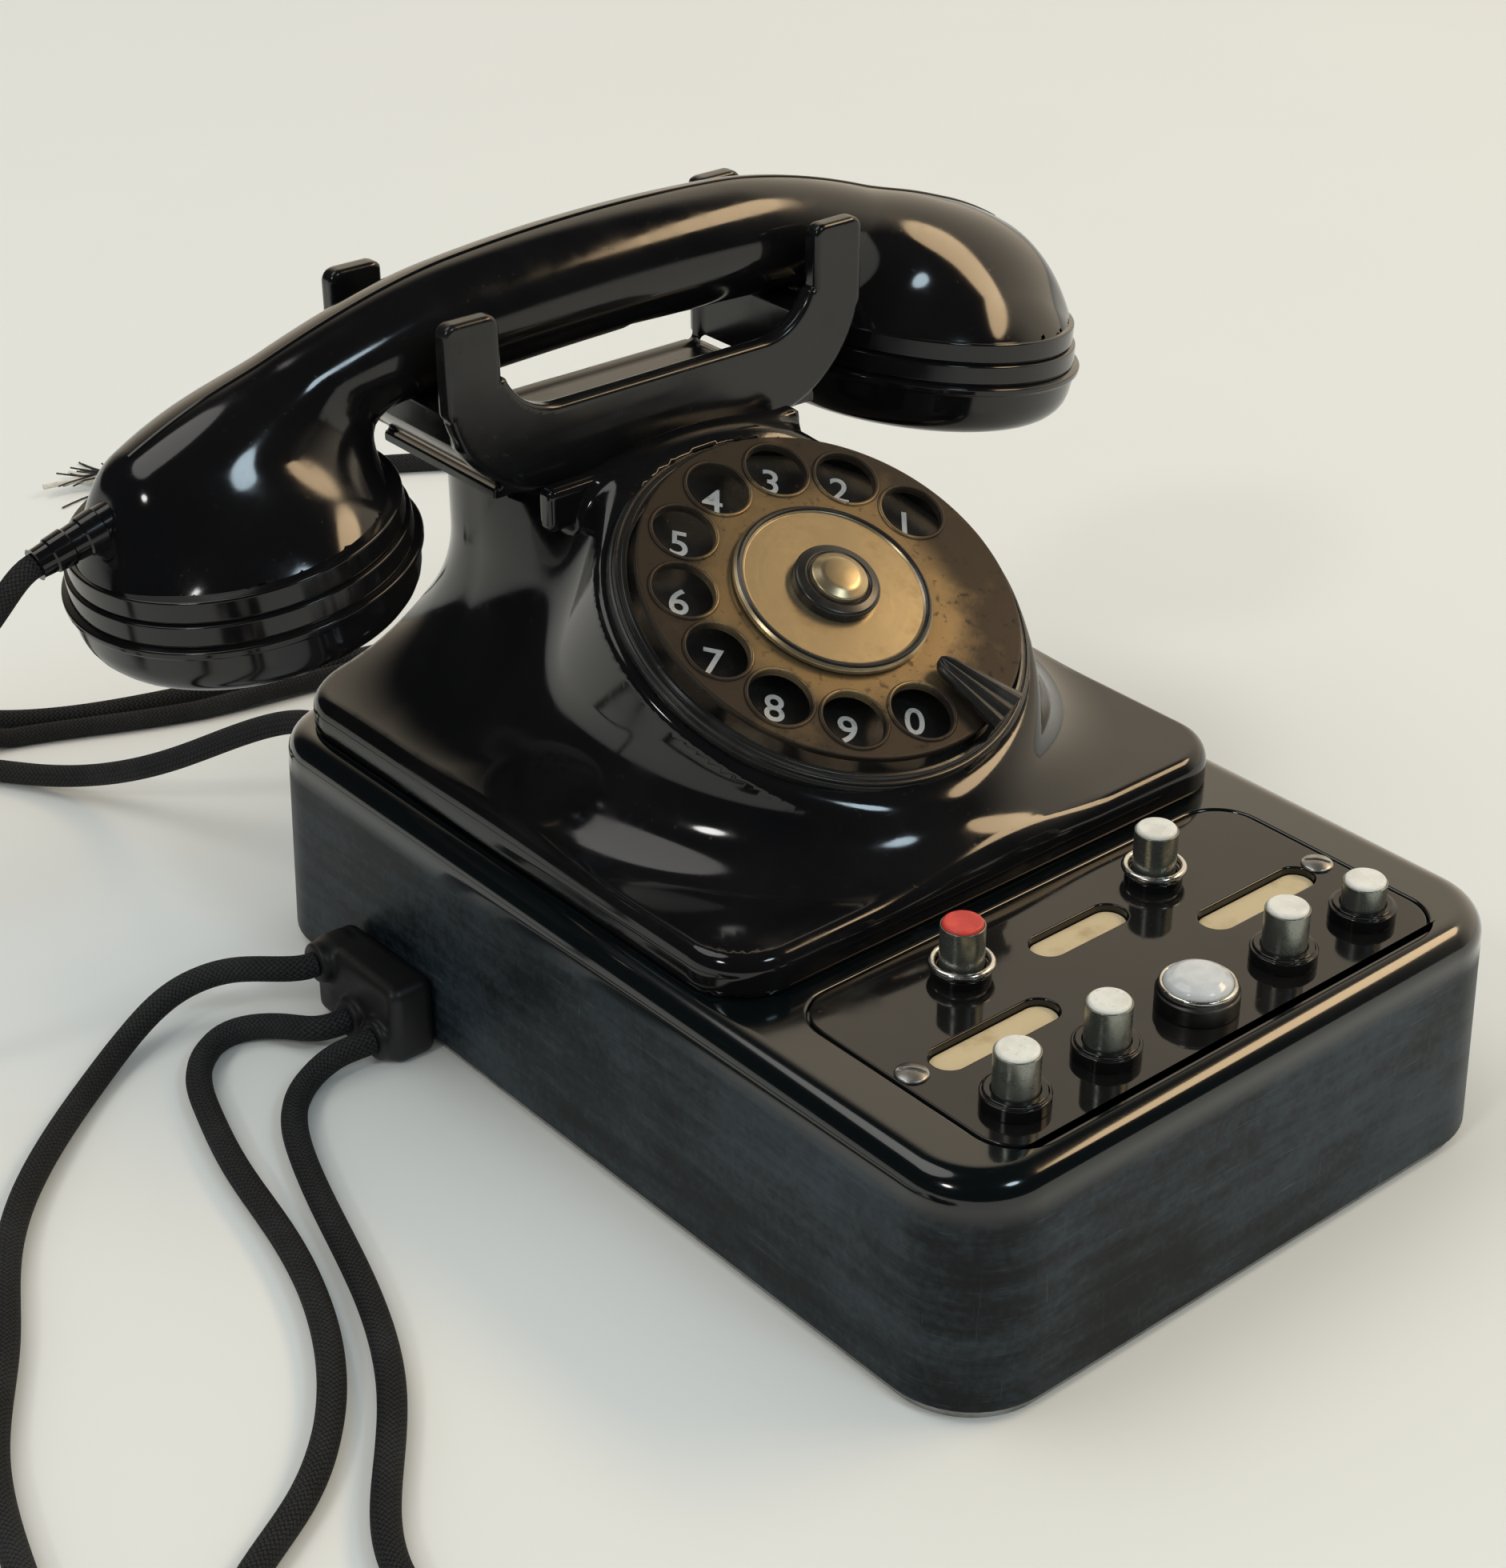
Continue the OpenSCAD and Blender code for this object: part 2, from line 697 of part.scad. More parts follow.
module lamp_bulb() {
    color("#f1e3b5")
    lamp_place()
    translate([0, 0, lamp_floor + 2]) {
        cylinder(h = 8, r = lamp_socket_r - 1.6);
        translate([0, 0, 8]) sphere(r = lamp_socket_r - 1.6);
    }
}

module lamp_holder() {
    color("#b9935a")
    lamp_place()
    difference() {
        translate([0, 0, lamp_floor]) cylinder(h = base_h - lamp_floor, r = lamp_socket_r);
        translate([0, 0, lamp_floor + 2]) cylinder(h = base_h, r = lamp_socket_r - 1.5);
    }
}

// Cable gland on the left wall: a block with a tongue through the wall and three outlets
module gland_tongue(gap) {
    translate([-base_w / 2 - 1 - gap, gland_y - gland_len / 2 + 4 + gap, plate_t + 3 + gap])
        cube([base_wall + 6 + 2 * gap, gland_len - 8 - 2 * gap, gland_h - 7 - 2 * gap]);
}

module side_gland() {
    out_x = -base_w / 2 - gland_out;
    color("#1b1c1e")
    difference() {
        union() {
            translate([out_x, gland_y - gland_len / 2, 0])
                rotate([90, 0, 90])
                    linear_extrude(gland_out + base_wall)
                        polygon(concat([[0, 0]], [[gland_len, 0]],
                            arc2(gland_len - 5, gland_h - 5, 5, 0, 90), arc2(5, gland_h - 5, 5, 90, 180)));
            gland_tongue(seat_gap);
        }
        difference() {
            rounded_block(base_w / 2, base_l / 2, base_corner_r,
                [[0, -1], [0, plate_t + eps], [draft_off(base_h), base_h]]);
            gland_tongue(seat_gap);
        }
    }
}

module rear_grommets() {
    color("#1b1c1e")
    for (p = [line_exit, handset_exit])
        translate([p[0], p[1], p[2]])
            rotate([90, 0, 0]) {
                out = p[1] - rear_wall - draft_off(p[2]);
                cylinder(h = out - seat_gap, r1 = grommet_r - 1.6, r2 = grommet_r);
                cylinder(h = out + base_wall, r = grommet_r - 1.5 - run_gap);
            }
}

// Ringer: plate with an upright yoke for the coils, posts for the gongs and the clapper's pivot
module ringer_frame() {
    foot = plate_t;
    color("#8b8d8f")
    difference() {
        union() {
            translate([-coil_x - 12, clapper_y - 6, foot])
                cube([2 * coil_x + 24, coil_y - clapper_y + 20, frame_t]);
            for (s = [-1, 1]) translate([s * gong_x, gong_y, foot]) cylinder(h = gong_z - foot, r = post_r);
            translate([0, clapper_y, foot]) cylinder(h = gong_z + gong_h - foot, r = 1.5);
        }
    }
}

module ringer_coils() {
    color("#8a3b22")
    for (s = [-1, 1])
        translate([s * coil_x, coil_y, plate_t + frame_t]) {
            cylinder(h = ringer_coil_h, r = ringer_coil_r - 1.2);
            for (z = [0, ringer_coil_h - 1.5]) translate([0, 0, z]) cylinder(h = 1.5, r = ringer_coil_r);
        }
}

module gongs() {
    color("#b59a5c")
    for (s = [-1, 1])
        translate([s * gong_x, gong_y, gong_z])
            rotate_extrude()
                polygon(concat([[0, 0], [8, 0]], arc2(gong_r - 12, gong_h, 12, -60, 0),
                    [[gong_r - gong_wall, gong_h]], arc2(gong_r - 12, gong_h, 12 - gong_wall, 0, -60),
                    [[7, gong_wall], [0, gong_wall]]));
}

// Clapper on its pivot, with its ball between the gongs
module clapper() {
    ball_z = gong_z + gong_h - 3;
    color("#6d7072")
    difference() {
        union() {
            translate([0, clapper_y, ball_z - 2]) cylinder(h = 4, r = 4);
            translate([-0.8, gong_y, ball_z - 1]) cube([1.6, clapper_y - gong_y, 2]);
            translate([0, gong_y, ball_z]) sphere(r = clapper_ball_r);
        }
        translate([0, clapper_y, 0]) cylinder(h = base_h, r = 1.5 + run_gap);
    }
}

module induction_coil() {
    cheek = [coil_size[0], coil_cheek, coil_size[2]];
    winding = coil_size[1] - 2 * coil_cheek;
    color("#5c5f63")
    translate([coil_side_in - base_w / 2, coil_front_y, plate_t]) {
        for (y = [0, coil_size[1] - coil_cheek])
            translate([-coil_size[0] / 2, y, 0]) cube(cheek);
        translate([0, coil_cheek, coil_size[2] / 2])
            rotate([-90, 0, 0]) cylinder(h = winding, r = coil_size[0] / 2 - 1);
    }
}

module condenser() {
    color("#9a9c98")
    translate([base_w / 2 - condenser_side_in - condenser_size[0],
        base_l / 2 - inner_back_in - condenser_size[1], plate_t])
        cube(condenser_size);
}

module terminal_strip() {
    pitch = terminal_size[0];
    color("#5a4632")
    translate([-pitch * terminal_count / 2, coil_front_y, plate_t]) {
        cube([pitch * terminal_count, terminal_size[1], terminal_size[2]]);
        for (i = [0:terminal_count - 1])
            translate([pitch * (i + 0.5), terminal_size[1] / 2, terminal_size[2] - eps])
                cylinder(h = 2, r = 0.3 * pitch);
    }
}

// Telephone housing

function skirt_profile(t) = concat(
    [[-1.2, base_h - (t > 0 ? 1 : 0)], [0, base_h + 1.2]],
    fillet_profile(max(skirt_edge_r - t, 1), 0, skirt_top - t));
function column_profile(t) = concat(
    [[flare_r + t, skirt_top - t - 1]],
    flare_profile(flare_r + t, skirt_top + flare_r),
    fillet_profile(2, 0, col_top - t));

function boss_flare_profile(t) = concat(
    [[0, skirt_top - t - 1], [boss_foot_r + boss_flare_r, skirt_top - t - 1]],
    [for (p = flare_profile(boss_flare_r + t, skirt_top + boss_flare_r)) [boss_foot_r - t + p[0], p[1]]],
    [[0, skirt_top + boss_flare_r]]);

module housing_foot(t, high) {
    translate([0, body_y, 0])
        rounded_block(body_w / 2 - t, body_l / 2 - t, body_corner_r - t, [[-3, base_h + 2], [-3, high]]);
}

// The housing's form, drawn in from the outside by a thickness
module housing_form(t) {
    translate([0, body_y, 0])
        rounded_block(body_w / 2 - t, body_l / 2 - t, body_corner_r - t, skirt_profile(t));
    intersection() {
        translate([0, cradle_y, 0])
            rounded_block(col_w / 2 - t, col_l / 2 - t, col_r - t, column_profile(t));
        housing_foot(t, col_top + 1);
    }
    intersection() {
        translate([0, boss_foot_y, 0])
            rotate_extrude()
                polygon(boss_flare_profile(t));
        housing_foot(t, col_top + 1);
    }
    intersection() {
        at_dial()
            rotate_extrude()
                polygon([[0, -boss_depth], [boss_r + boss_spread - t, -boss_depth],
                    [boss_r - t, bezel_low - t], [0, bezel_low - t]]);
        housing_foot(t, dial_z + 40);
    }
}

module body_shell() {
    color(bakelite)
    difference() {
        union() {
            difference() {
                housing_form(0);
                housing_form(body_wall);
                at_dial() translate([0, 0, dial_seat - 4]) cylinder(h = 12, r = boss_r - body_wall);
            }
            at_dial() ring(boss_r - 1, dial_plate_r - seat_t, dial_seat - seat_t, dial_seat);
            translate([0, cradle_y - plate_gap - prong_t - ledge_gap - ledge_t / 2,
                col_top + ledge_rise - ledge_h / 2])
                cube([ledge_w, ledge_t, ledge_h], center = true);
            housing_screw_places() translate([0, 0, base_h]) cylinder(h = skirt_h - 1, r = 4);
        }
        translate([0, cradle_y, col_top - 10]) cylinder(h = 20, r = plunger_r + run_gap);
        housing_screw_places() translate([0, 0, base_h - 1]) cylinder(h = skirt_h - 2, r = 1.5 + run_gap);
    }
}

module housing_screw_places() {
    for (sx = [-1, 1], y = [body_front + housing_screw_in[1], body_back - housing_screw_in[1]])
        translate([sx * (body_w / 2 - housing_screw_in[0]), y, 0]) children();
}

// Spring pile of the hook switch, on a leg under the column
module hook_springs() {
    top = saddle_low - plunger_l - seat_gap;
    translate([0, cradle_y, 0]) {
        translate([-5, 6, base_h]) cube([10, 8, top - base_h]);
        for (z = [top - 0.4, top - 5, top - 10])
            translate([-3, -8, z]) cube([6, 14 + eps, 0.4]);
    }
}

// Dial

module dial_bezel() {
    color("#1a1a1b")
    at_dial()
        rotate_extrude()
            polygon([[ring_in + 0.3, bezel_low], [bezel_r, bezel_low], [bezel_r, bezel_low + 1.2],
                [bezel_r - 0.8, bezel_low + 1.6], [bezel_r - 0.8, bezel_top - 0.6],
                [bezel_r - 1.5, bezel_top], [ring_in + 0.3, bezel_top]]);
}

module number_ring() {
    color("#101010")
    at_dial() ring(ring_in, 12, bezel_low, bezel_low + 1);
}

module finger_stop() {
    foot_in = ring_in + 0.5;
    foot_out = bezel_r - 1.8;
    color("#17181a")
    at_dial()
        rotate(stop_angle) {
            translate([0, 0, stop_low])
                linear_extrude(stop_t)
                    polygon([[23.5, -2.2], [34, -3.2], [foot_out, -7.5],
                        [foot_out, 7.5], [35, 3.4], [24.5, 2.4]]);
            intersection() {
                ring(foot_out, foot_in, bezel_top, stop_low + eps);
                translate([foot_in - 5, -7.5, bezel_top - 1]) cube([10, 15, 20]);
            }
        }
}

module dial_plate() {
    color("#8b8d8f")
    at_dial() {
        difference() {
            ring(dial_plate_r, shaft_r + run_gap, dial_seat, bezel_low);
            translate(governor_place())
                translate([0, 0, dial_seat - 1]) cylinder(h = 4, r = spindle_r + run_gap);
        }
        for (a = pillar_angles)
            rotate(a)
                translate([pillar_pitch, 0, back_plate_z])
                    cylinder(h = dial_seat - back_plate_z + eps, r = pillar_r);
    }
}

module dial_back_plate() {
    color("#8b8d8f")
    at_dial()
        difference() {
            ring(pillar_pitch + 4, shaft_r + run_gap, back_plate_z - back_plate_t, back_plate_z);
            translate(governor_place())
                translate([0, 0, back_plate_z - 3]) cylinder(h = 4, r = spindle_r + run_gap);
        }
}

function governor_place() = [gear_distance * cos(governor_angle), gear_distance * sin(governor_angle), 0];

module finger_wheel() {
    color("#3a3128")
    at_dial()
        difference() {
            rotate_extrude()
                polygon([[0, wheel_rise - wheel_t], [8, wheel_rise - wheel_t], [8, -3.5],
                    [shaft_r + run_gap, -3.5],
                    [shaft_r + run_gap, -4], [9, -4], [9, wheel_rise - wheel_t], [card_r, wheel_rise - wheel_t],
                    [wheel_r - 1, -wheel_t], [wheel_r - 1, -wheel_t - 0.8], [wheel_r, -wheel_t - 0.8],
                    [wheel_r, -0.4], [wheel_r - 0.4, 0], [card_r, wheel_rise], [0, wheel_rise]]);
            for (i = [0:9])
                rotate(hole_first + i * hole_step)
                    translate([hole_pitch_r, 0, -5]) cylinder(h = 10, r = hole_r);
        }
}

// Card disc with its raised clamp ring
module card_disc() {
    color("#a98a55")
    at_dial()
        rotate_extrude()
            polygon([[0, wheel_rise], [card_r, wheel_rise], [card_r, wheel_rise + 1.6],
                [card_r - 0.9, wheel_rise + 1.6], [card_r - 1.1, wheel_rise + 1], [0, wheel_rise + 1]]);
}

module centre_button() {
    low = wheel_rise + 1;
    color("#1c1712")
    at_dial()
        rotate_extrude()
            polygon(concat([[0, low], [knob_r, low], [knob_r, low + 1]],
                [for (i = [1:8]) let (a = 90 * i / 8) [knob_r * cos(a), low + 1 + 3.4 * sin(a)]]));
}

module dial_shaft() {
    color("#b7babc")
    at_dial()
        translate([0, 0, back_plate_z - back_plate_t - 1])
            cylinder(h = wheel_rise - wheel_t - back_plate_z + back_plate_t + 1, r = shaft_r);
}

// Straight-sided gear, teeth a little thin so that a pair runs free
module gear(teeth, bore, turned) {
    pitch_r = gear_module * teeth / 2;
    root_r = pitch_r - 1.25 * gear_module;
    tip_r = pitch_r + 0.7 * gear_module;
    tip_half = 0.3 * gear_module;
    root_half = 0.75 * gear_module;
    difference() {
        union() {
            cylinder(h = gear_t, r = root_r);
            for (i = [0:teeth - 1])
                rotate(turned + i * 360 / teeth)
                    linear_extrude(gear_t)
                        polygon([[root_r - 0.3, -root_half], [tip_r, -tip_half],
                            [tip_r, tip_half], [root_r - 0.3, root_half]]);
        }
        translate([0, 0, -1]) cylinder(h = gear_t + 2, r = bore);
    }
}

module main_gear() {
    color("#b8975a")
    at_dial() translate([0, 0, gear_z]) gear(gear_teeth, shaft_r + run_gap, governor_angle);
}

// Governor: pinion, spindle and brake drum, its first tooth gap towards the main gear
module governor() {
    pinion_turn = governor_angle + 180 + 180 / pinion_teeth;
    low = back_plate_z - back_plate_t;
    color("#c4a66a")
    at_dial()
        translate(governor_place()) {
            translate([0, 0, gear_z]) gear(pinion_teeth, spindle_r / 2, pinion_turn);
            translate([0, 0, low]) cylinder(h = bezel_low - low - seat_gap, r = spindle_r);
            translate([0, 0, back_plate_z + 1]) cylinder(h = 5, r = governor_r);
        }
}

// Cradle: a front plate and two back prongs, joined by a floor and by a saddle at each end

module cradle_plate() {
    tip = 2.5;
    notch = 12;
    inner = prong_x - prong_w;
    right = concat(
        arc2(belly_x, belly_z, belly_r, -90, 0),
        arc2(prong_x - tip, prong_top - tip, tip, 0, 90, 3),
        arc2(inner + tip, prong_top - tip, tip, 90, 180, 3),
        arc2(inner - notch, plate_top + notch, notch, 0, -90));
    rotate([90, 0, 0])
        linear_extrude(prong_t, center = true)
            polygon(concat(right, reversed([for (p = right) [-p[0], p[1]]])));
}

// One end saddle, right side
module cradle_end() {
    outer = -acos((rest_x - belly_x) / belly_r);
    rotate([90, 0, 0])
        linear_extrude(2 * plate_gap + 2 * eps, center = true)
            polygon(concat(arc2(belly_x, belly_z, belly_r, -90, outer), [[rest_x, rest_z], [belly_x, rest_z]]));
}

module cradle() {
    color(bakelite)
    translate([0, cradle_y, 0]) {
        translate([0, -plate_gap - prong_t / 2, 0]) cradle_plate();
        difference() {
            translate([0, plate_gap + prong_t / 2, 0]) cradle_plate();
            translate([-belly_x, plate_gap - 1, saddle_top]) cube([2 * belly_x, prong_t + 2, prong_h]);
        }
        for (s = [0, 1]) mirror([s, 0, 0]) cradle_end();
        translate([-belly_x - eps, -plate_gap - eps, saddle_low])
            cube([2 * belly_x + 2 * eps, 2 * plate_gap + 2 * eps, saddle_t]);
    }
}

module cradle_plunger() {
    color(plated)
    translate([0, cradle_y, saddle_low - plunger_l]) cylinder(h = plunger_l, r = plunger_r);
}

// Handset

// Height of the handle's middle line at a distance from the middle
function handle_at(x) = handle_z - bow_r + sqrt(bow_r * bow_r - x * x);

// Bell over a cap: a cone with a rounded shoulder
function bell_profile() =
    let (low = bell_h - bell_edge_r,
        in = (bell_edge_r + low * sin(bell_slope)) / cos(bell_slope))
    concat([[0, 0], [bell_r, 0]],
        arc2(bell_r - in, low, bell_edge_r, bell_slope, 90),
        [[0, bell_h]]);

module handset_shell() {
    sweep = asin(handle_end / bow_r);
    throat_x = cap_x - throat_l;
    color(bakelite)
    difference() {
        union() {
            translate([0, cradle_y, handle_z - bow_r])
                rotate([90, 0, 0])
                    rotate(90 - sweep)
                        rotate_extrude(angle = 2 * sweep, $fn = 96)
                            translate([bow_r, 0]) circle(r = handle_r);
            for (s = [-1, 1]) {
                translate([s * handle_end, cradle_y, handle_at(handle_end)]) sphere(r = handle_r + end_proud);
                at_cap(s) rotate_extrude() polygon(bell_profile());
                along([s * cap_x, cradle_y, cap_z + bell_h / 2], [s * throat_x, cradle_y, handle_at(throat_x)])
                    cylinder(h = throat_l, r1 = throat_r, r2 = handle_r - 1);
            }
        }
        for (s = [-1, 1]) {
            at_cap(s) translate([0, 0, -30]) cylinder(h = 30, r = cap_r + 1);
            at_cap(s) translate([0, 0, -1]) cylinder(h = 5, r = bell_r - cap_wall - 2);
        }
        along(boot_root, boot_tip) translate([0, 0, -2]) cylinder(h = 30, r = boot_r + run_gap);
    }
}

// Screw cap with two grooves, a rounded rim and sound holes
module handset_cap(holes) {
    rim = 6;
    groove = 0.5;
    inside = cap_r - cap_wall;
    floor_t = 3.5;
    difference() {
        rotate_extrude()
            polygon(concat(
                [[inside - 1, 0], [neck_r, 0], [cap_r - 1, -1], [cap_r - 1, -ring_in_cap[0] + groove],
                    [cap_r, -ring_in_cap[0] - groove], [cap_r, -ring_in_cap[1] + groove],
                    [cap_r - 1.2, -ring_in_cap[1] - groove]],
                reversed(arc2(cap_r - 1.2 - rim, -cap_h + rim, rim, -90, 0)),
                [[0, -cap_h], [0, -cap_h + floor_t], [inside - 1, -cap_h + floor_t]]));
        translate([0, 0, -cap_h - 1]) cylinder(h = floor_t + 2, r = 1.6);
        for (i = [0:holes - 1])
            rotate(i * 360 / holes) translate([9, 0, -cap_h - 1]) cylinder(h = floor_t + 2, r = 1.6);
    }
}

module ear_cap() {
    color(bakelite) at_cap(1) handset_cap(6);
}

module mouth_cap() {
    color(bakelite) at_cap(-1) handset_cap(8);
}

// Receiver and transmitter capsules, each seated on the inside of its cap
module capsules() {
    color("#77797b")
    for (s = [-1, 1])
        at_cap(s) translate([0, 0, -cap_h + 3.5]) cylinder(h = capsule_h, r = capsule_r);
}

module handset_boot() {
    color("#17181a")
    along(boot_root, boot_tip)
        cylinder(h = norm(boot_tip - boot_root), r1 = boot_r, r2 = handset_cord_r + 0.8);
}

// Cords

function unit(v) = v / norm(v);
function tangents(path, first, last) =
    [for (i = [0:len(path) - 1])
        i == 0 ? first : i == len(path) - 1 ? last : unit(path[i + 1] - path[i - 1])];
// Carries a side direction along the path without twist
function carried(dirs, i, side) =
    i == len(dirs) ? [] :
    let (flat = unit(side - (side * dirs[i]) * dirs[i]))
    concat([flat], carried(dirs, i + 1, flat));
function tube_points(path, dirs, sides, r) =
    let (across = carried(dirs, 0, abs(dirs[0][2]) < 0.9 ? [0, 0, 1] : [1, 0, 0]))
    [for (i = [0:len(path) - 1])
        let (b = cross(dirs[i], across[i]))
        for (k = [0:sides - 1])
            let (a = 360 * (k + 0.5) / sides)
            path[i] + r * cos(a) * across[i] + r * sin(a) * b];
function tube_faces(rings, sides) = concat(
    [for (i = [0:rings - 2], k = [0:sides - 1])
        let (a = i * sides + k, b = i * sides + (k + 1) % sides)
        each [[a, a + sides, b], [b, a + sides, b + sides]]],
    [for (k = [1:sides - 2]) [0, k, k + 1]],
    [for (k = [1:sides - 2]) let (o = (rings - 1) * sides) [o, o + k + 1, o + k]]);

module tube(path, first, last, sides, d) {
    polyhedron(tube_points(path, tangents(path, first, last), sides, d / 2), tube_faces(len(path), sides));
}

module handset_cord() {
    color(cloth) tube(handset_route, unit(boot_tip - boot_root), [0, -1, 0], cord_sides, handset_cord_d);
}

module line_cord() {
    color(cloth) tube(line_route, [0, 1, 0], unit([-4, 3, 0]), cord_sides, cord_d);
}

module loop_cord() {
    color(cloth) tube(loop_route, [-1, 0, 0], [1, 0, 0], cord_sides, cord_d);
}

module station_cord() {
    color(cloth) tube(station_route, [-1, 0, 0], [0, -1, 0], cord_sides, cord_d);
}

// Put-away coil: the turns spiral in, climb a layer in half a turn, and spiral out again
coil_total = 2 * coil_turns + 0.5;
function coil_r(t) =
    t < coil_turns ? coil_first_r - coil_step * t :
    t < coil_turns + 0.5 ? coil_last_r :
    coil_last_r + coil_step * (t - coil_turns - 0.5);
function coil_z(t) =
    let (s = min(1, max(0, (t - coil_turns) / 0.5)))
    coil_low + coil_rise * s * s * (3 - 2 * s);
function coil_at(t) = [
    coil_middle[0] + coil_r(t) * cos(360 * t),
    coil_middle[1] - coil_r(t) * sin(360 * t),
    coil_z(t)];
coil_path = concat(
    [for (i = [0:coil_total * loop_rings]) coil_at(i / loop_rings)],
    [coil_at(coil_total) + [0, cord_d, 0]]);
// Least distance between points of the coil that are at least half a turn apart
coil_gap = min([for (i = [0:2:len(coil_path) - 1], j = [i + loop_rings / 2:1:len(coil_path) - 1])
    norm(coil_path[i] - coil_path[j])]) - cord_d;
echo(coil_gap = coil_gap);

module cord_coil() {
    color(cloth) tube(coil_path, [0, -1, 0], [0, 1, 0], loop_sides, cord_d);
}

// Round station plug at the end of the coil, with its contact pins
module cord_plug() {
    color(bakelite)
    translate(coil_path[len(coil_path) - 1])
        rotate([-90, 0, 0]) {
            rotate_extrude()
                polygon([[0, 0], [3.4, 0], [3.8, 7], [plug_r - 1, 12], [plug_r, 14],
                    [plug_r, plug_l - 1], [plug_r - 1, plug_l], [0, plug_l]]);
            for (i = [0:3])
                rotate(45 + 90 * i) translate([4.4, 0, plug_l - eps]) cylinder(h = 9, r = 1.2);
        }
}

base_shell();
base_plate();
case_screws();
key_panel();
panel_screws();
label_cards();
key_collars();
collar_rings();
for (i = [0:5]) {
    key_stem(i);
    key_cap(i);
}
key_bracket();
contact_springs();
lamp_ring();
lamp_lens();
lamp_bulb();
lamp_holder();
side_gland();
rear_grommets();
ringer_frame();
ringer_coils();
gongs();
clapper();
induction_coil();
condenser();
terminal_strip();
body_shell();
dial_bezel();
number_ring();
finger_stop();
dial_plate();
dial_back_plate();
finger_wheel();
card_disc();
centre_button();
dial_shaft();
main_gear();
governor();
cradle();
cradle_plunger();
handset_shell();
ear_cap();
mouth_cap();
capsules();
handset_boot();
handset_cord();
line_cord();
loop_cord();
station_cord();
cord_coil();
cord_plug();
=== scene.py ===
"""Bakelite desk telephone on a push-key intercom box: its looks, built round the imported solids.

Lengths are in millimetres until a mesh is made. +X is right, +Y is back, +Z is up, and the dial faces -Y.
"""

import bpy
import numpy as np
from mathutils import Matrix, Vector
from mathutils.geometry import tessellate_polygon


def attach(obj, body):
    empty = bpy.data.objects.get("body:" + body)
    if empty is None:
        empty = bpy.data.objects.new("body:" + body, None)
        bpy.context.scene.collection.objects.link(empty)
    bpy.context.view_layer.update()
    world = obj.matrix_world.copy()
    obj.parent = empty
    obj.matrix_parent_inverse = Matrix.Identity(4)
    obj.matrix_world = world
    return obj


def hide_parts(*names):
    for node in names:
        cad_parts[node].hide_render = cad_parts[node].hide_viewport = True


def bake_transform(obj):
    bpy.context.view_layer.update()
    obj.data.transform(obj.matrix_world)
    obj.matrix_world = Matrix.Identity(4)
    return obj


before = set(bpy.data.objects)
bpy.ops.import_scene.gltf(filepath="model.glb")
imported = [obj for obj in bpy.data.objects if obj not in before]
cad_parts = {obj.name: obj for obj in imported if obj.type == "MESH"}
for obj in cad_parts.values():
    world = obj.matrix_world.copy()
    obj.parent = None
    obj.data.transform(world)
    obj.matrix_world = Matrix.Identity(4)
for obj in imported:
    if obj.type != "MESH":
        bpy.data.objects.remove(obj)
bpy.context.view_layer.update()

MM = 0.001
TURN = 2 * np.pi
BESIDE_ARC = 1.15
BESIDE_RIM = 1.2

# Sizes that the solids share with these surfaces

BASE_HALF = (69, 104.5)
BASE_HEIGHT = 47.5
BASE_FOOT = 2
BASE_DRAFT = np.tan(np.radians(2))
BASE_CORNER = 17
BASE_EDGE = 5
BASE_WALL = 3.5
BASE_TOP = 5

PANEL_HALF = (54, 27.5)
PANEL_Y = -70.5
PANEL_CORNER = 9
PANEL_DEEP = 2
PANEL_SEAT = BASE_HEIGHT - PANEL_DEEP
CARD_THICK = 0.5
PANEL_GROOVE = 0.35
PANEL_SCREW_X = 50.4
SCREW_RADIUS = 3
SCREW_DOME = 6.3
SCREW_DOME_Z = -5.2
SLOT_WAY = (0.8, 0.6)
SLOT_HALF = 0.4
SLOT_LOW = 0.5
LABELS = ((-32, -71, 28), (1.5, -57.7, 22), (33.5, -71, 28))
LABEL_WIDTH = 7

KEY_PLACES = ((-43, -87), (-22, -87), (22, -87), (43, -87), (-24, -54.5), (24, -54.5))
KEY_DROPS = (0, 0, 0, 3, 0, 0)
KEY_RADIUS = 4
KEY_PROUD = 9
KEY_CAP = 2
KEY_LOW = 43.5
COLLAR_GAP = 0.08
RED_KEY = 4
LAMP_PLACE = (0, -87)
LAMP_HOLE = 4
BORE_PLAY = 0.4
LAMP_RADIUS = 7.3
LAMP_HEIGHT = 4.2
LAMP_BORE = 6.02
LAMP_RIBS = 28

SKIRT_HALF = (63.5, 70.25)
SKIRT_Y = 29.75
SKIRT_TOP = 55.3
SKIRT_CORNER = 14
SKIRT_EDGE = 4
COLUMN_HALF = (33, 23)
COLUMN_TOP = 101
COLUMN_CORNER = 21
COLUMN_FLARE = 30
BOSS_FLARE = 20
LEDGE_HALF = (30.5, 2.1, 4.25)
LEDGE_PLACE = (-3.5, 48.65, 101.75)
HOUSING_WALL = 3
WELLS = ((40, -7.5), (36, -30))
PLUNGER_HOLE = 4.05
PLUNGER_LOW = 90

DIAL_CENTRE = np.array((0, 7.2, 89.5))
DIAL_LEAN = np.radians(29)
WHEEL_RADIUS = 37.5
HOLE_RADIUS = 5.9
HOLE_PITCH = 29.2
HOLE_FIRST = 19.4
HOLE_STEP = 27.7
CARD_RADIUS = 19.4
KNOB_RADIUS = 8.4
BEZEL_RADIUS = 41.2
BOSS_RADIUS = 43
BOSS_SPREAD = 8 / 76
DIAL_SEAT = -6
FIGURE_UP = 54
FIGURE_SIZE = 8.4
FIGURE_SHIFT = (1.5, 0.9)
FIGURE_HEIGHT = -4.94
STOP_REACH = (23.5, 39.4)
STOP_BEARING = np.radians(-70)
STOP_UNDER = 2.25
STOP_FOOT = 38.3

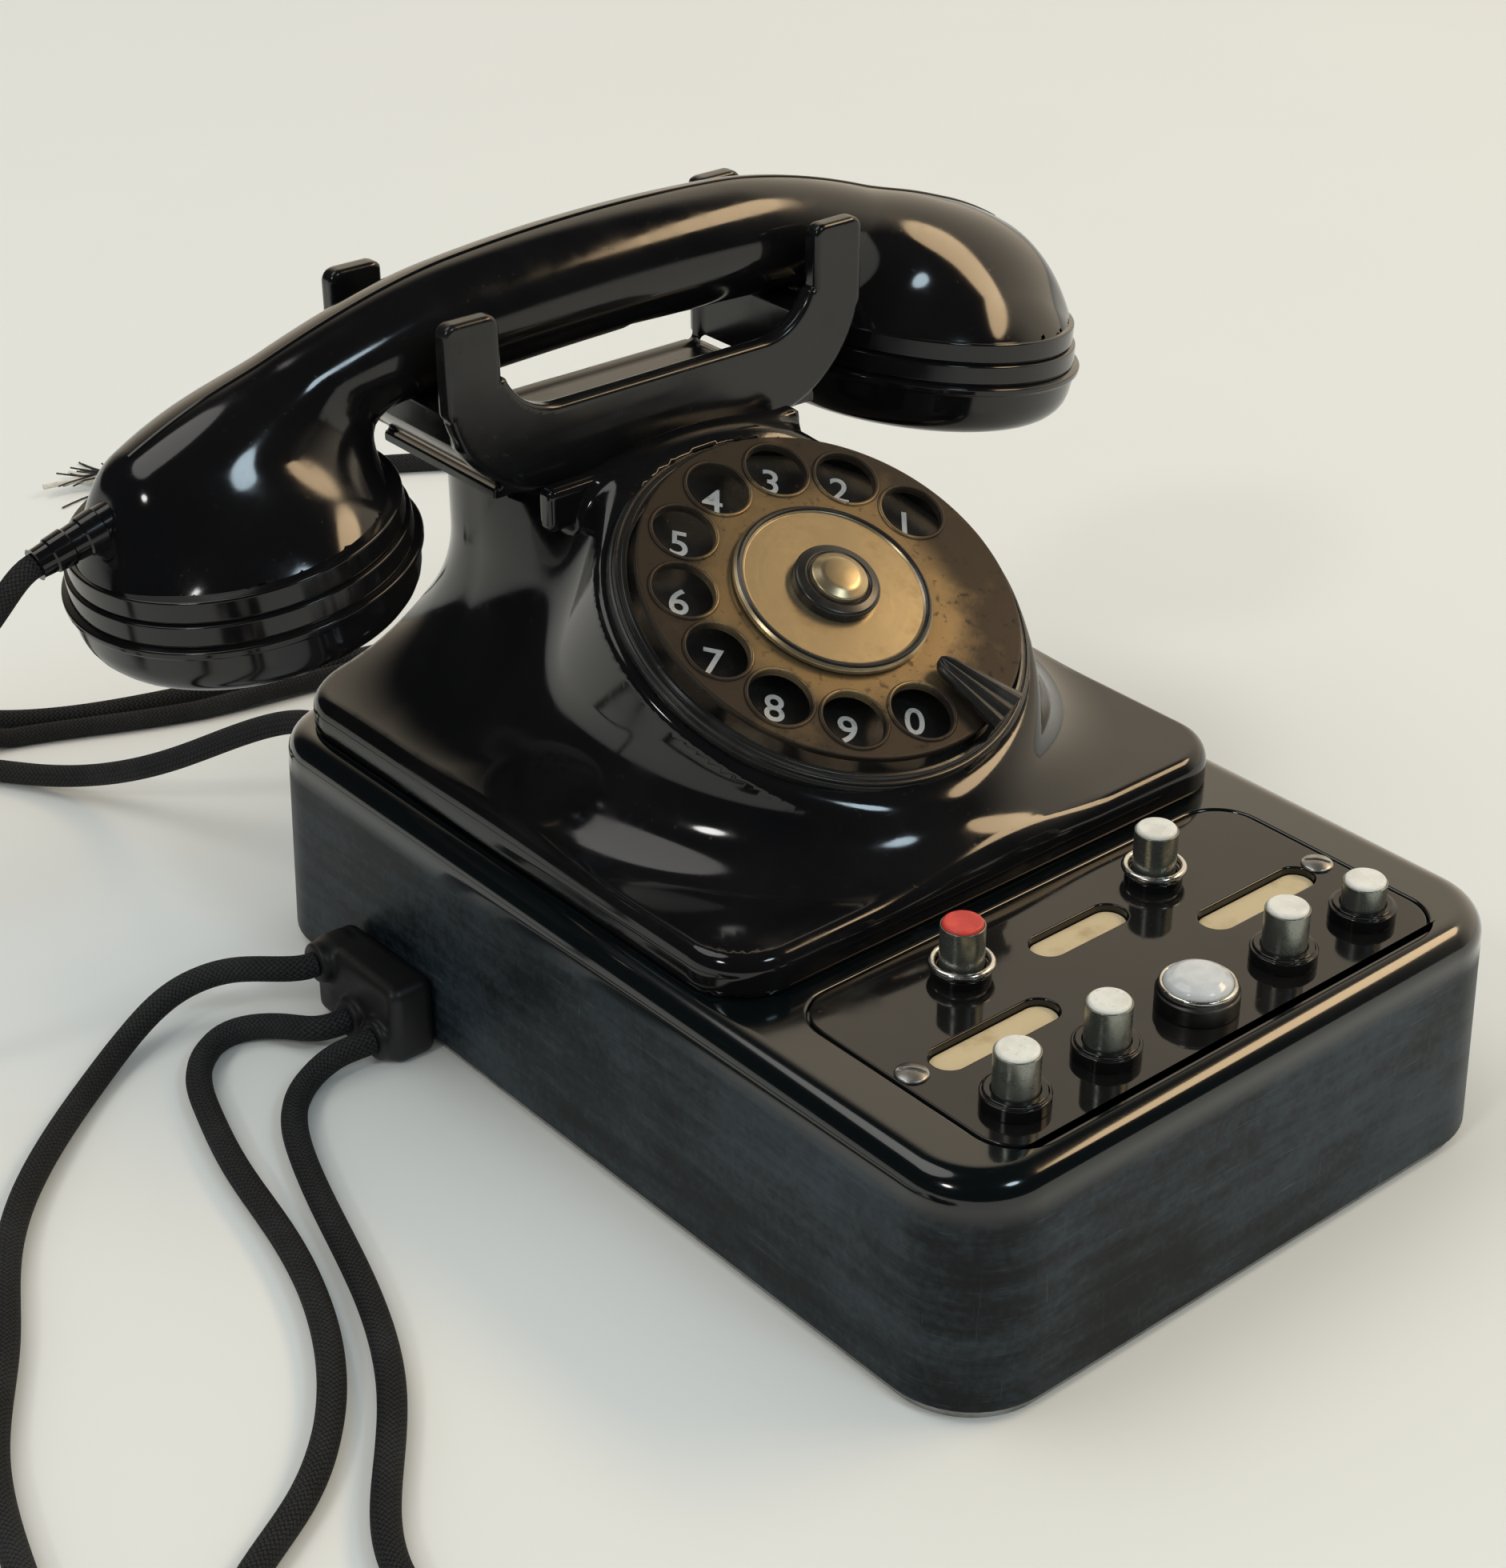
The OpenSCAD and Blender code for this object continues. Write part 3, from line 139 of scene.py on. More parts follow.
CRADLE_Y = 73
CRADLE_LOW = 103
CRADLE_FLOOR = 105.2
CRADLE_X = -1.5
CRADLE_FALL = 0.015
SADDLE_X = (38, 46)
SADDLE_TOP = 120.7
BELLY_RADIUS = 24
BELLY_Z = 127
PRONG_X = 49.4
PRONG_WIDTH = 12
PRONG_TOP = 139.6
PLATE_TOP = 119
PLATE_GAP = 16.25
PLATE_THICK = 4
NOTCH_RADIUS = 13
NOTCH_HALF = 40
PRONG_Z = 130

HANDLE_TOP = 145.9
HANDLE_RADIUS = 12
BOW_RADIUS = 385
CAP_RADIUS = 34.5
CAP_HEIGHT = 20
NECK_RADIUS = 32
SLOPE_X = 105


class End:
    """One end of the handset: its cap's seat, lean and radius, its bell's form, and the ridge that runs over it."""

    def __init__(self, side, seat, lean, cap, bell, taper, crown, edge, slope, fall, bend, slim, hollow):
        self.side, self.lean, self.cap = side, np.radians(lean), cap
        self.seat = np.array([side * seat[0], CRADLE_Y, seat[1]])
        self.bell, self.taper, self.crown, self.edge = bell, taper, crown, edge
        self.slope, self.fall, self.bend, self.slim, self.hollow = np.radians(slope), fall, bend, slim, hollow


MOUTH = End(side=-1, seat=(85, 108.2), lean=8, cap=33, bell=29.7, taper=0.41, crown=13.9, edge=22.5,
            slope=27.6, fall=125.5, bend=15.5, slim=7.8, hollow=15)
EAR = End(side=1, seat=(82.6, 107.4), lean=9.8, cap=35.8, bell=33.2, taper=0.35, crown=15.6, edge=22.8,
          slope=43.3, fall=135, bend=46, slim=10, hollow=15)
FAR_INSIDE = -1e3
BOOT_ROOT = np.array([-105, 73, 114.64])
BOOT_TIP = np.array([-124, 73, 110])
BOOT_RADII = (4.4, 3.0)
SOUND_HOLE = 1.6
SOUND_RING = 9
SOUND_DEEP = 3
CAP_FACE = 24
CAP_BORE = 28

# Cord routes, as the solids have them.

HANDSET_CORD = 4.4
HANDSET_ROUTE = (
    (-124, 73, 110), (-131, 73, 105), (-139, 74, 96), (-147, 76, 80), (-155, 79, 60), (-163, 85, 38),
    (-172, 97, 18), (-184, 115, 6), (-198, 136, 2.3), (-204, 160, 2.3), (-194, 184, 2.3), (-170, 202, 2.3),
    (-140, 210, 3), (-122, 213, 6.5), (-106, 212, 9), (-91, 209, 6.5), (-76, 205, 2.5), (-34, 188, 2.3),
    (18, 176, 2.3), (40, 160, 2.3), (50, 140, 6), (50, 122, 12), (50, 109, 14))
FLOOR_GAP = 0.05
BOX_CORD = 5
LINE_ROUTE = (
    (-49, 109, 36), (-50, 118, 34), (-55, 132, 27), (-62, 148, 17), (-70, 166, 8), (-79, 183, 3.5),
    (-89, 198, 2.6), (-103, 211, 2.6), (-112, 225, 2.6), (-107, 237, 2.6), (-94, 237, 2.6), (-84, 226, 2.6),
    (-73, 213, 2.6), (-32, 195, 2.6), (18, 183, 2.6), (62, 178, 2.6), (98, 184, 2.6), (119, 204, 2.6),
    (121, 232, 2.6), (104, 257, 2.6), (76, 277, 2.6), (44, 296, 2.6), (20, 314, 2.6))
LINE_WAY = (-4, 3, 0)
LOOP_ROUTE = (
    (-81, 66, 13), (-87, 69, 13), (-94, 77, 11.5), (-103, 82, 8), (-114, 80, 4.5), (-125, 74, 2.6),
    (-143, 60, 2.6), (-157, 46, 2.6), (-167, 31, 2.6), (-175, 16, 2.6), (-189, -7, 2.6), (-198, -33, 2.6),
    (-200, -46, 2.6), (-195, -58, 2.6), (-184, -62, 2.6), (-172, -56, 2.6), (-157, -47, 2.6), (-145, -36, 2.6),
    (-136, -23, 2.6), (-124, 11, 2.6), (-120, 33, 2.6), (-115, 51, 2.6), (-108, 65, 2.6), (-98, 70, 2.6),
    (-90, 64, 3.5), (-86, 57, 5), (-81, 56, 5))
STATION_ROUTE = (
    (-81, 47, 5), (-87, 48, 4.5), (-95, 47, 2.8), (-103, 40, 2.6), (-109, 28, 2.6), (-114, 13, 2.6),
    (-123, -16, 2.6), (-132, -35, 2.6), (-142, -49, 2.6), (-152, -64, 2.6), (-156, -80, 2.6),
    (-156, -98, 2.6), (-156, -116, 2.6))
COIL_MIDDLE = (-194, -116)
COIL_TURNS = 3
COIL_STEP = 6.3
COIL_RISE = 6
TIE_HALF = 4
TIE_THICK = 0.5
PLUG_LENGTH = 34
PIN_RADIUS = 1.2
PIN_RING = 4.4
CORES = ((0.25, 25), (-0.3, 20))
THREADS = 26
GLAND_PLACE = (-74, 56, 8.5)
GLAND_HALF = (5, 14, 8.5)
GLAND_BEAD = 4.2
GLAND_BEAD_X = -77
GLAND_BEAD_HALF = 4

# Camera and stage

EYE = Vector((-321.6, -353.1, 329.1)) * MM
LOOK_AT = Vector((-0.891, 28.518, 40)) * MM
ROLL = np.radians(-0.19)
FOCUS_PIXELS = 3663.24
FRAME_PIXELS = 1882
SENSOR = 36
FLOOR_SIDE = 12000
MIDDLE = Vector((0, 0.02, 0.08))
WARM_WALL = (0.906, 0.423)
LAMPS = (
    # name, bearing and rise in degrees, distance, width and height in metres, roll, watts, colour
    ("window", -169, 39, 3.2, 0.55, 0.4, 0, 12, (1.0, 0.98, 0.95)),
    ("ceiling", 128, 62, 3.2, 2.2, 1.9, 0, 20, (1.0, 0.98, 0.95)),
    ("warm_strip", -25, 42, 2.87, 1.8, 0.6, 8, 25, (1.0, 0.72, 0.42)),
    ("cool_spot", -82, 45, 2.87, 0.65, 0.5, 0, 10.7, (0.7, 0.88, 1.0)))


def link(thing):
    """Puts an object into the scene."""
    bpy.context.scene.collection.objects.link(thing)
    return thing


def aim(thing, place, target, roll=0.0):
    """Stands a camera or lamp at a place so that it looks at a target: its -Z on that line, its Y up, then rolled."""
    ahead = (target - place).normalized()
    right = ahead.cross(Vector((0, 0, 1))).normalized()
    up = right.cross(ahead)
    side = right * np.cos(roll) + up * np.sin(roll)
    top = up * np.cos(roll) - right * np.sin(roll)
    thing.matrix_world = Matrix.Translation(place) @ Matrix((side, top, -ahead)).transposed().to_4x4()
    return thing


def make_camera():
    """The photograph's camera: its focal length in pixels becomes millimetres on the sensor."""
    data = bpy.data.cameras.new("camera")
    data.lens = SENSOR * FOCUS_PIXELS / FRAME_PIXELS
    data.sensor_width = SENSOR
    data.sensor_fit = "HORIZONTAL"
    data.clip_end = 50
    camera = aim(link(bpy.data.objects.new("camera", data)), EYE, LOOK_AT, ROLL)
    bpy.context.scene.camera = camera


# Shader maths


class Level:
    """One output of a shader node. Arithmetic with numbers and other outputs adds Math nodes."""

    def __init__(self, finish, output):
        self.finish = finish
        self.output = output

    def math(self, operation, *values):
        """Adds one Math node."""
        return self.finish.node("ShaderNodeMath", {"operation": operation}, dict(enumerate(values)))

    def __rsub__(self, other):
        return self.math("SUBTRACT", other, self)

    def ease(self, low, high):
        """0 below low, 1 above high, and a smooth step between."""
        return self.finish.node("ShaderNodeMapRange", {"interpolation_type": "SMOOTHSTEP", "clamp": True},
                                {0: self, 1: low, 2: high, 3: 0.0, 4: 1.0})


# Each operator and method named here is one Math node
for method, operation in (
        ("__add__", "ADD"), ("__radd__", "ADD"), ("__sub__", "SUBTRACT"), ("__mul__", "MULTIPLY"),
        ("__rmul__", "MULTIPLY"), ("__pow__", "POWER"), ("__abs__", "ABSOLUTE"), ("sine", "SINE"),
        ("whole", "FLOOR"), ("rest_of", "FLOORED_MODULO"), ("most", "MAXIMUM")):
    setattr(Level, method, lambda self, *others, kind=operation: self.math(kind, self, *others))


class Finish:
    """A material under construction: makes nodes, mixes colours, and sets the surface shader."""

    def __init__(self, name):
        self.material = bpy.data.materials.new(name)
        self.material.use_nodes = True
        self.tree = self.material.node_tree
        self.surface = self.tree.nodes["Principled BSDF"]

    def node(self, kind, settings, inputs, output=0):
        """Adds a node: its settings first, then its sockets' values or links."""
        node = self.tree.nodes.new(kind)
        for name, value in settings.items():
            setattr(node, name, value)
        for key, value in inputs.items():
            self.feed(node.inputs[key], value)
        return Level(self, node.outputs[output])

    def feed(self, socket, value):
        """Links an output to a socket, or sets the socket's own value."""
        if isinstance(value, Level):
            self.tree.links.new(value.output, socket)
        elif isinstance(value, tuple) and socket.type == "RGBA":
            socket.default_value = (*value, 1)
        else:
            socket.default_value = value

    def place(self):
        """Object coordinates, in metres of the telephone's own frame."""
        return self.node("ShaderNodeTexCoord", {}, {}, "Object")

    def mapped(self, scale, rotation=(0, 0, 0)):
        """Object coordinates stretched and turned for a pattern."""
        return self.node("ShaderNodeMapping", {"vector_type": "POINT"},
                         {"Vector": self.place(), "Rotation": rotation, "Scale": scale})

    def noise(self, scale, detail=3.0, rough=0.55, vector=None):
        """Cloudy noise between 0 and 1."""
        return self.node("ShaderNodeTexNoise", {},
                         {"Vector": vector or self.place(), "Scale": scale, "Detail": detail, "Roughness": rough})

    def parts(self, vector, axis):
        """One coordinate of a vector."""
        return self.node("ShaderNodeSeparateXYZ", {}, {0: vector}, axis)

    def mix(self, factor, first, second):
        """Colour between two colours."""
        return self.node("ShaderNodeMix", {"data_type": "RGBA"}, {0: factor, 6: first, 7: second}, 2)

    def bump(self, height, depth, strength=1.0):
        """Normal from a height between 0 and 1 that stands for a depth in millimetres."""
        return self.node("ShaderNodeBump", {}, {"Height": height, "Distance": depth * MM, "Strength": strength})

    def set(self, **sockets):
        """Feeds the surface shader's sockets, named with _ for a space."""
        for name, value in sockets.items():
            self.feed(self.surface.inputs[name.replace("_", " ")], value)
        return self.material


# Meshes


def grid(points, wrap_rows=False, wrap_columns=False):
    """Points in rows and columns as a shape: each face joins four neighbours, round the back where a side wraps."""
    rows, columns = points.shape[:2]
    number = np.arange(rows * columns).reshape(rows, columns)
    if wrap_rows:
        number = np.vstack([number, number[:1]])
    if wrap_columns:
        number = np.hstack([number, number[:, :1]])
    faces = np.stack([number[:-1, :-1], number[:-1, 1:], number[1:, 1:], number[1:, :-1]], axis=-1)
    return points.reshape(-1, 3), faces.reshape(-1, 4)


def joined(*shapes):
    """Several shapes as one: later faces count on from the earlier points."""
    starts = np.cumsum([0] + [len(points) for points, _ in shapes[:-1]])
    return (np.concatenate([points for points, _ in shapes]),
            np.concatenate([faces + start for (_, faces), start in zip(shapes, starts)]))


def welded(shape):
    """A shape whose equal points have become one."""
    points, faces = shape
    _, first, same = np.unique(np.round(points, 4), axis=0, return_index=True, return_inverse=True)
    return points[first], same.reshape(-1)[faces]


def flipped(shape):
    """A shape whose faces look the other way."""
    return shape[0], shape[1][:, ::-1]


def unit(vectors):
    """Vectors at length 1."""
    vectors = np.asarray(vectors, float)
    return vectors / np.linalg.norm(vectors, axis=-1, keepdims=True)


def outward(shape):
    """Turns the faces of a closed shape outwards: the volume under all its faces has to be positive."""
    points, faces = shape
    a, b, c, d = (points[faces[:, k]] for k in range(4))
    volume = (np.cross(b - a, c - a) * a).sum() + (np.cross(c - a, d - a) * a).sum()
    return shape if volume > 0 else flipped(shape)


def put_mesh(name, shape, uv=None, normals=None, sharp=40):
    """Makes an object of a shape in millimetres. A face row that names a corner twice becomes a triangle."""
    points, source = outward(shape)
    faces = source
    if normals is None:
        points, faces = welded((points, faces))
    keep = faces != np.roll(faces, 1, axis=1)
    keep &= (keep.sum(axis=1) > 2)[:, None]
    corners = faces[keep]
    totals = keep.sum(axis=1)
    totals = totals[totals > 0]
    mesh = bpy.data.meshes.new(name)
    mesh.vertices.add(len(points))
    mesh.vertices.foreach_set("co", (points * MM).astype(np.float32).ravel())
    mesh.loops.add(len(corners))
    mesh.loops.foreach_set("vertex_index", corners.astype(np.int32))
    mesh.polygons.add(len(totals))
    mesh.polygons.foreach_set("loop_start", np.concatenate([[0], np.cumsum(totals)[:-1]]).astype(np.int32))
    mesh.update(calc_edges=True)
    mesh.shade_smooth()
    if normals is not None:
        mesh.normals_split_custom_set_from_vertices(normals)
    else:
        mesh.set_sharp_from_angle(angle=np.radians(sharp))
    if uv is not None:
        mesh.uv_layers.new(name="wrap").data.foreach_set("uv", uv[source[keep]].astype(np.float32).ravel())
    return link(bpy.data.objects.new(name, mesh))


def piece(name, shape, finish, slot, body, *nodes, **options):
    """A finished piece: its mesh and material, the body that it rides on and the solids it stands for. Its slot is not
    used.
    """
    made = put_mesh(name, shape, **options)
    made.data.materials.append(finish)
    if body:
        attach(made, body)
    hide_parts(*nodes)
    return made


def moved(shape, place):
    """A shape carried to a place."""
    return shape[0] + np.asarray(place, float), shape[1]


def tilted(shape, origin, across, along):
    """Carries a shape from its own frame to one with the given X and Z directions at an origin."""
    across, along = unit(across), unit(along)
    return shape[0] @ np.stack([across, np.cross(along, across), along]) + np.asarray(origin, float), shape[1]


def rounded_line(corners, closed=False, steps=7):
    """A line through corners (a, b, radius): each radius above 0 becomes an arc that touches both of its sides.

    The arc turns from one touching point to the other about the centre that lies on the corner's bisector.
    One more point on each side, close to the arc, keeps the flats beside it flat in shading.
    """
    line = []
    count = len(corners)
    for i, corner in enumerate(corners):
        here = np.array(corner[:2], float)
        radius = corner[2] if len(corner) > 2 else 0
        if radius <= 0 or (not closed and i in (0, count - 1)):
            line.append(here)
            continue
        back = unit(np.array(corners[i - 1][:2], float) - here)
        on = unit(np.array(corners[(i + 1) % count][:2], float) - here)
        half = np.arccos(np.clip(back @ on, -1, 1)) / 2
        reach = radius / np.tan(half)
        middle = here + unit(back + on) * radius / np.sin(half)
        start, end = here + back * reach - middle, here + on * reach - middle
        sweep = np.pi - 2 * half
        swing = (end - start * np.cos(sweep)) / np.sin(sweep)
        turn = np.linspace(0, sweep, steps + 1)[:, None]
        line.append(here + back * reach * BESIDE_ARC)
        line.extend(middle + start * np.cos(turn) + swing * np.sin(turn))
        line.append(here + on * reach * BESIDE_ARC)
    return np.array(line)


def turned(profile, count=96, closed=False, ripple=None):
    """A profile of (radius, height) carried round the Z axis; ripple(angle, height) is added to the radius."""
    profile = np.asarray(profile, float)
    angle = np.arange(count) * TURN / count
    radius = profile[:, :1] + np.zeros(count)
    if ripple is not None:
        radius = radius + ripple(angle[None, :], profile[:, 1:])
    points = np.stack([radius * np.cos(angle), radius * np.sin(angle),
                       profile[:, 1:] + np.zeros(count)], axis=-1)
    return grid(points, wrap_rows=closed, wrap_columns=True)


def turned_ring(corners, count, steps):
    """A closed profile with round corners carried round the Z axis."""
    return turned(rounded_line(corners, closed=True, steps=steps), count, closed=True)


def bead(radius, height, thick, count=72, sides=16):
    """A round ring: a small circle carried round the Z axis."""
    return turned(circle(thick, (radius, height), sides), count, closed=True)


def rounded_loop(half, corner, middle=(0, 0), corner_steps=12, side_steps=6):
    """A rectangle with round corners, counter-clockwise: a quarter turn at each corner, then points along the side."""
    quarter = np.linspace(0, np.pi / 2, corner_steps + 1)
    signs = np.array([[1, 1], [-1, 1], [-1, -1], [1, -1]])
    arcs = []
    for k, sign in enumerate(signs):
        turn = quarter + k * np.pi / 2
        arcs.append(sign * (np.array(half) - corner) + on_circle(corner, turn))
    share = (np.arange(side_steps) + 1)[:, None] / (side_steps + 1)
    loop = []
    for k, arc in enumerate(arcs):
        following = arcs[(k + 1) % 4][0]
        loop += [arc, arc[-1] + (following - arc[-1]) * share]
    return np.concatenate(loop) + np.asarray(middle, float)


def at_height(loop, z):
    """A flat loop as points at one height."""
    return np.column_stack([loop, np.full(len(loop), float(z))])


def signed_area(loop):
    """The area within a flat loop, positive where it runs counter-clockwise."""
    ahead = np.roll(loop, -1, axis=0)
    return (loop[:, 0] * ahead[:, 1] - loop[:, 1] * ahead[:, 0]).sum() / 2


def drawn_in(loop, distance):
    """A closed loop moved to its left by a distance, along its own normals."""
    along = np.roll(loop, -1, axis=0) - np.roll(loop, 1, axis=0)
    return loop + unit(np.stack([-along[:, 1], along[:, 0]], axis=-1)) * distance


def plate(outline, windows, low, high, edge, steps=4):
    """A flat plate with windows: each rim is a straight wall and a quarter round, and the flats fill the space between.

    The quarter round of radius edge at angle t draws the loop in by edge (1 - cos t) at height high - edge (1 - sin t).
    """
    loops = [outline if signed_area(outline) > 0 else outline[::-1]]
    loops += [w if signed_area(w) < 0 else w[::-1] for w in windows]
    turn = np.linspace(0, np.pi / 2, steps + 1)
    rims, tops, feet = [], [], []
    for loop in loops:
        rows = [at_height(loop, low), at_height(loop, high - edge * BESIDE_RIM)]
        rows += [at_height(drawn_in(loop, edge * (1 - np.cos(t))), high - edge * (1 - np.sin(t))) for t in turn]
        rows.append(at_height(drawn_in(loop, edge * BESIDE_RIM), high))
        rims.append(grid(np.array(rows), wrap_columns=True))
        tops.append(rows[-1])
        feet.append(rows[0])
    return joined(*rims, filled(tops, True), filled(feet, False))


def filled(loops, up):
    """The flat between a loop and the loops inside it, as triangles that face up or down."""
    points = np.concatenate(loops)
    faces = np.array(tessellate_polygon([[Vector(p) for p in loop] for loop in loops]))
    a, b, c = (points[faces[:, k], :2] for k in range(3))
    turn = (b - a)[:, 0] * (c - a)[:, 1] - (b - a)[:, 1] * (c - a)[:, 0]
    wrong = (turn > 0) != up
    faces[wrong] = faces[wrong][:, ::-1]
    return points, np.column_stack([faces, faces[:, 2]])


def on_circle(radius, angle):
    """Flat points at angles on a circle about the origin."""
    return radius * np.stack([np.cos(angle), np.sin(angle)], axis=-1)


def circle(radius, middle=(0, 0), count=48):
    """A round flat loop, counter-clockwise."""
    return on_circle(radius, np.arange(count) * TURN / count) + np.asarray(middle, float)


# Moulded forms: the surface where a distance field is zero


def round_or(a, b, radius):
    """Union of two fields with a hollow of a radius where they meet."""
    return np.maximum(radius, np.minimum(a, b)) - np.hypot(np.maximum(radius - a, 0), np.maximum(radius - b, 0))


def round_and(a, b, radius):
    """Intersection of two fields with an edge of a radius where they meet."""
    return np.minimum(-radius, np.maximum(a, b)) + np.hypot(np.maximum(a + radius, 0), np.maximum(b + radius, 0))


def plan_distance(x, y, half, corner):
    """Distance in plan to a rectangle with round corners."""
    dx = np.abs(x) - (half[0] - corner)
    dy = np.abs(y) - (half[1] - corner)
    return np.hypot(np.maximum(dx, 0), np.maximum(dy, 0)) + np.minimum(np.maximum(dx, dy), 0) - corner


def block_distance(p, middle, half, edge):
    """Distance to a block whose edges are all rounded by one radius."""
    q = np.abs(p - np.asarray(middle, float)) - (np.asarray(half, float) - edge)
    return np.linalg.norm(np.maximum(q, 0), axis=1) + np.minimum(q.max(axis=1), 0) - edge


def slope_of(field, points, reach=0.02):
    """Gradient of a field by central differences."""
    slopes = []
    for axis in np.eye(3) * reach:
        slopes.append((field(points + axis) - field(points - axis)) / (2 * reach))
    return np.stack(slopes, axis=-1)


def moulded(field, low, high, step):
    """The zero surface of a field: one point in each cell that it passes, set by the mean of its crossings.

    Each edge of the lattice that changes sign gives a face between the four cells round it. Four Newton steps along
    the gradient then put every point on the surface, and the gradient there is its normal.
    """
    low, high = np.asarray(low, float), np.asarray(high, float)
    count = np.ceil((high - low) / step).astype(int) + 1
    axes = [low[k] + step * np.arange(count[k]) for k in range(3)]
    lattice = np.stack(np.meshgrid(*axes, indexing="ij"), axis=-1)
    values = field(lattice.reshape(-1, 3)).reshape(count)
    cells = count - 1
    total = np.zeros((*cells, 3))
    hits = np.zeros(cells)
    edges = []
    for axis in range(3):
        first = np.take(values, np.arange(cells[axis]), axis)
        second = np.take(values, np.arange(1, count[axis]), axis)
        crossing = (first < 0) != (second < 0)
        share = np.where(crossing, first / np.where(crossing, first - second, 1), 0)
        edges.append((crossing, first < 0))
        others = [k for k in range(3) if k != axis]
        for i in (0, 1):
            for j in (0, 1):
                window = [slice(None)] * 3
                window[others[0]] = slice(i, i + cells[others[0]])
                window[others[1]] = slice(j, j + cells[others[1]])
                here = crossing[tuple(window)]
                hits += here
                total[..., axis] += share[tuple(window)] * here
                total[..., others[0]] += i * here
                total[..., others[1]] += j * here
    active = hits > 0
    number = np.full(cells, -1)
    number[active] = np.arange(active.sum())
    points = (total[active] / hits[active][:, None] + np.argwhere(active)) * step + low
    faces = []
    for axis, (crossing, inside) in enumerate(edges):
        others = [k for k in range(3) if k != axis]
        inner = [slice(None)] * 3
        for k in others:
            inner[k] = slice(1, cells[k])
        at = np.argwhere(crossing[tuple(inner)])
        at[:, others] += 1
        corners = []
        for i, j in ((1, 1), (0, 1), (0, 0), (1, 0)):
            cell = at.copy()
            cell[:, others[0]] -= i
            cell[:, others[1]] -= j
            corners.append(number[tuple(cell.T)])
        quads = np.stack(corners, axis=-1)
        swap = inside[tuple(at.T)] == (axis == 1)
        quads[swap] = quads[swap][:, ::-1]
        faces.append(quads)
    for _ in range(4):
        slope = slope_of(field, points)
        points = points - slope * (field(points) / np.maximum((slope ** 2).sum(axis=1), 0.05))[:, None]
    normals = unit(slope_of(field, points))
    return turned_out((points, np.concatenate(faces)), normals), normals


def turned_out(shape, normals):
    """A shape with each face turned the way that its first point's normal points."""
    points, faces = shape
    facing = np.cross(points[faces[:, 2]] - points[faces[:, 0]], points[faces[:, 3]] - points[faces[:, 1]])
    wrong = (facing * normals[faces[:, 0]]).sum(axis=1) < 0
    faces[wrong] = faces[wrong][:, ::-1]
    return points, faces


def moulded_piece(name, field, low, high, step, finish, slot, body, *nodes):
    """A field's surface as a finished piece."""
    shape, normals = moulded(field, low, high, step)
    piece(name, shape, finish, slot, body, *nodes, normals=normals)


# Cords


def smooth_route(route, first, last, step=1.5):
    """A route's points as one smooth curve: a clamped cubic spline over the distances between them.

    The spline's directions at the inner points solve the usual three-term equations, and the ends are given.
    """
    knots = np.asarray(route, float)
    gaps = np.linalg.norm(np.diff(knots, axis=0), axis=1)
    count = len(knots)
    system = np.eye(count)
    wanted = np.zeros((count, 3))
    inner = np.arange(1, count - 1)
    system[inner, inner - 1] = gaps[1:]
    system[inner, inner] = 2 * (gaps[:-1] + gaps[1:])
    system[inner, inner + 1] = gaps[:-1]
    rise = np.diff(knots, axis=0) / gaps[:, None]
    wanted[inner] = 3 * (gaps[1:, None] * rise[:-1] + gaps[:-1, None] * rise[1:])
    wanted[0], wanted[-1] = unit(first), unit(last)
    slopes = np.linalg.solve(system, wanted)
    way = travelled(knots)
    samples = np.linspace(0, way[-1], int(way[-1] / step) + 1)
    span = np.clip(np.searchsorted(way, samples, "right") - 1, 0, count - 2)
    wide = gaps[span][:, None]
    t = ((samples - way[span]) / gaps[span])[:, None]
    return ((2 * t ** 3 - 3 * t ** 2 + 1) * knots[span] + (t ** 3 - 2 * t ** 2 + t) * wide * slopes[span]
            + (3 * t ** 2 - 2 * t ** 3) * knots[span + 1] + (t ** 3 - t ** 2) * wide * slopes[span + 1])


def travelled(path):
    """The distance along a path at each of its points."""
    return np.concatenate([[0], np.cumsum(np.linalg.norm(np.diff(path, axis=0), axis=1))])


def tube(path, diameter, sides=14):
    """A round tube along a path, closed at both ends, and its wrap: turns round it, and lengths in circumferences.

    Each ring stands square to the path, on a level side direction and the direction square to both.
    """
    path = np.asarray(path, float)
    along = unit(np.gradient(path, axis=0))
    side = unit(np.cross(along, (0, 0, 1)))
    over = np.cross(side, along)
    angle = np.linspace(0, TURN, sides + 1)
    radii = np.concatenate([[0], np.full(len(path), diameter / 2), [0]])
    index = np.concatenate([[0], np.arange(len(path)), [len(path) - 1]])
    ring = np.cos(angle)[:, None] * side[index][:, None] + np.sin(angle)[:, None] * over[index][:, None]
    points = path[index][:, None] + ring * radii[:, None, None]
    wrap = np.stack([angle / TURN + np.zeros(len(index))[:, None],
                     travelled(path)[index][:, None] / (np.pi * diameter) + np.zeros(sides + 1)], axis=-1)
    return grid(points), wrap.reshape(-1, 2)


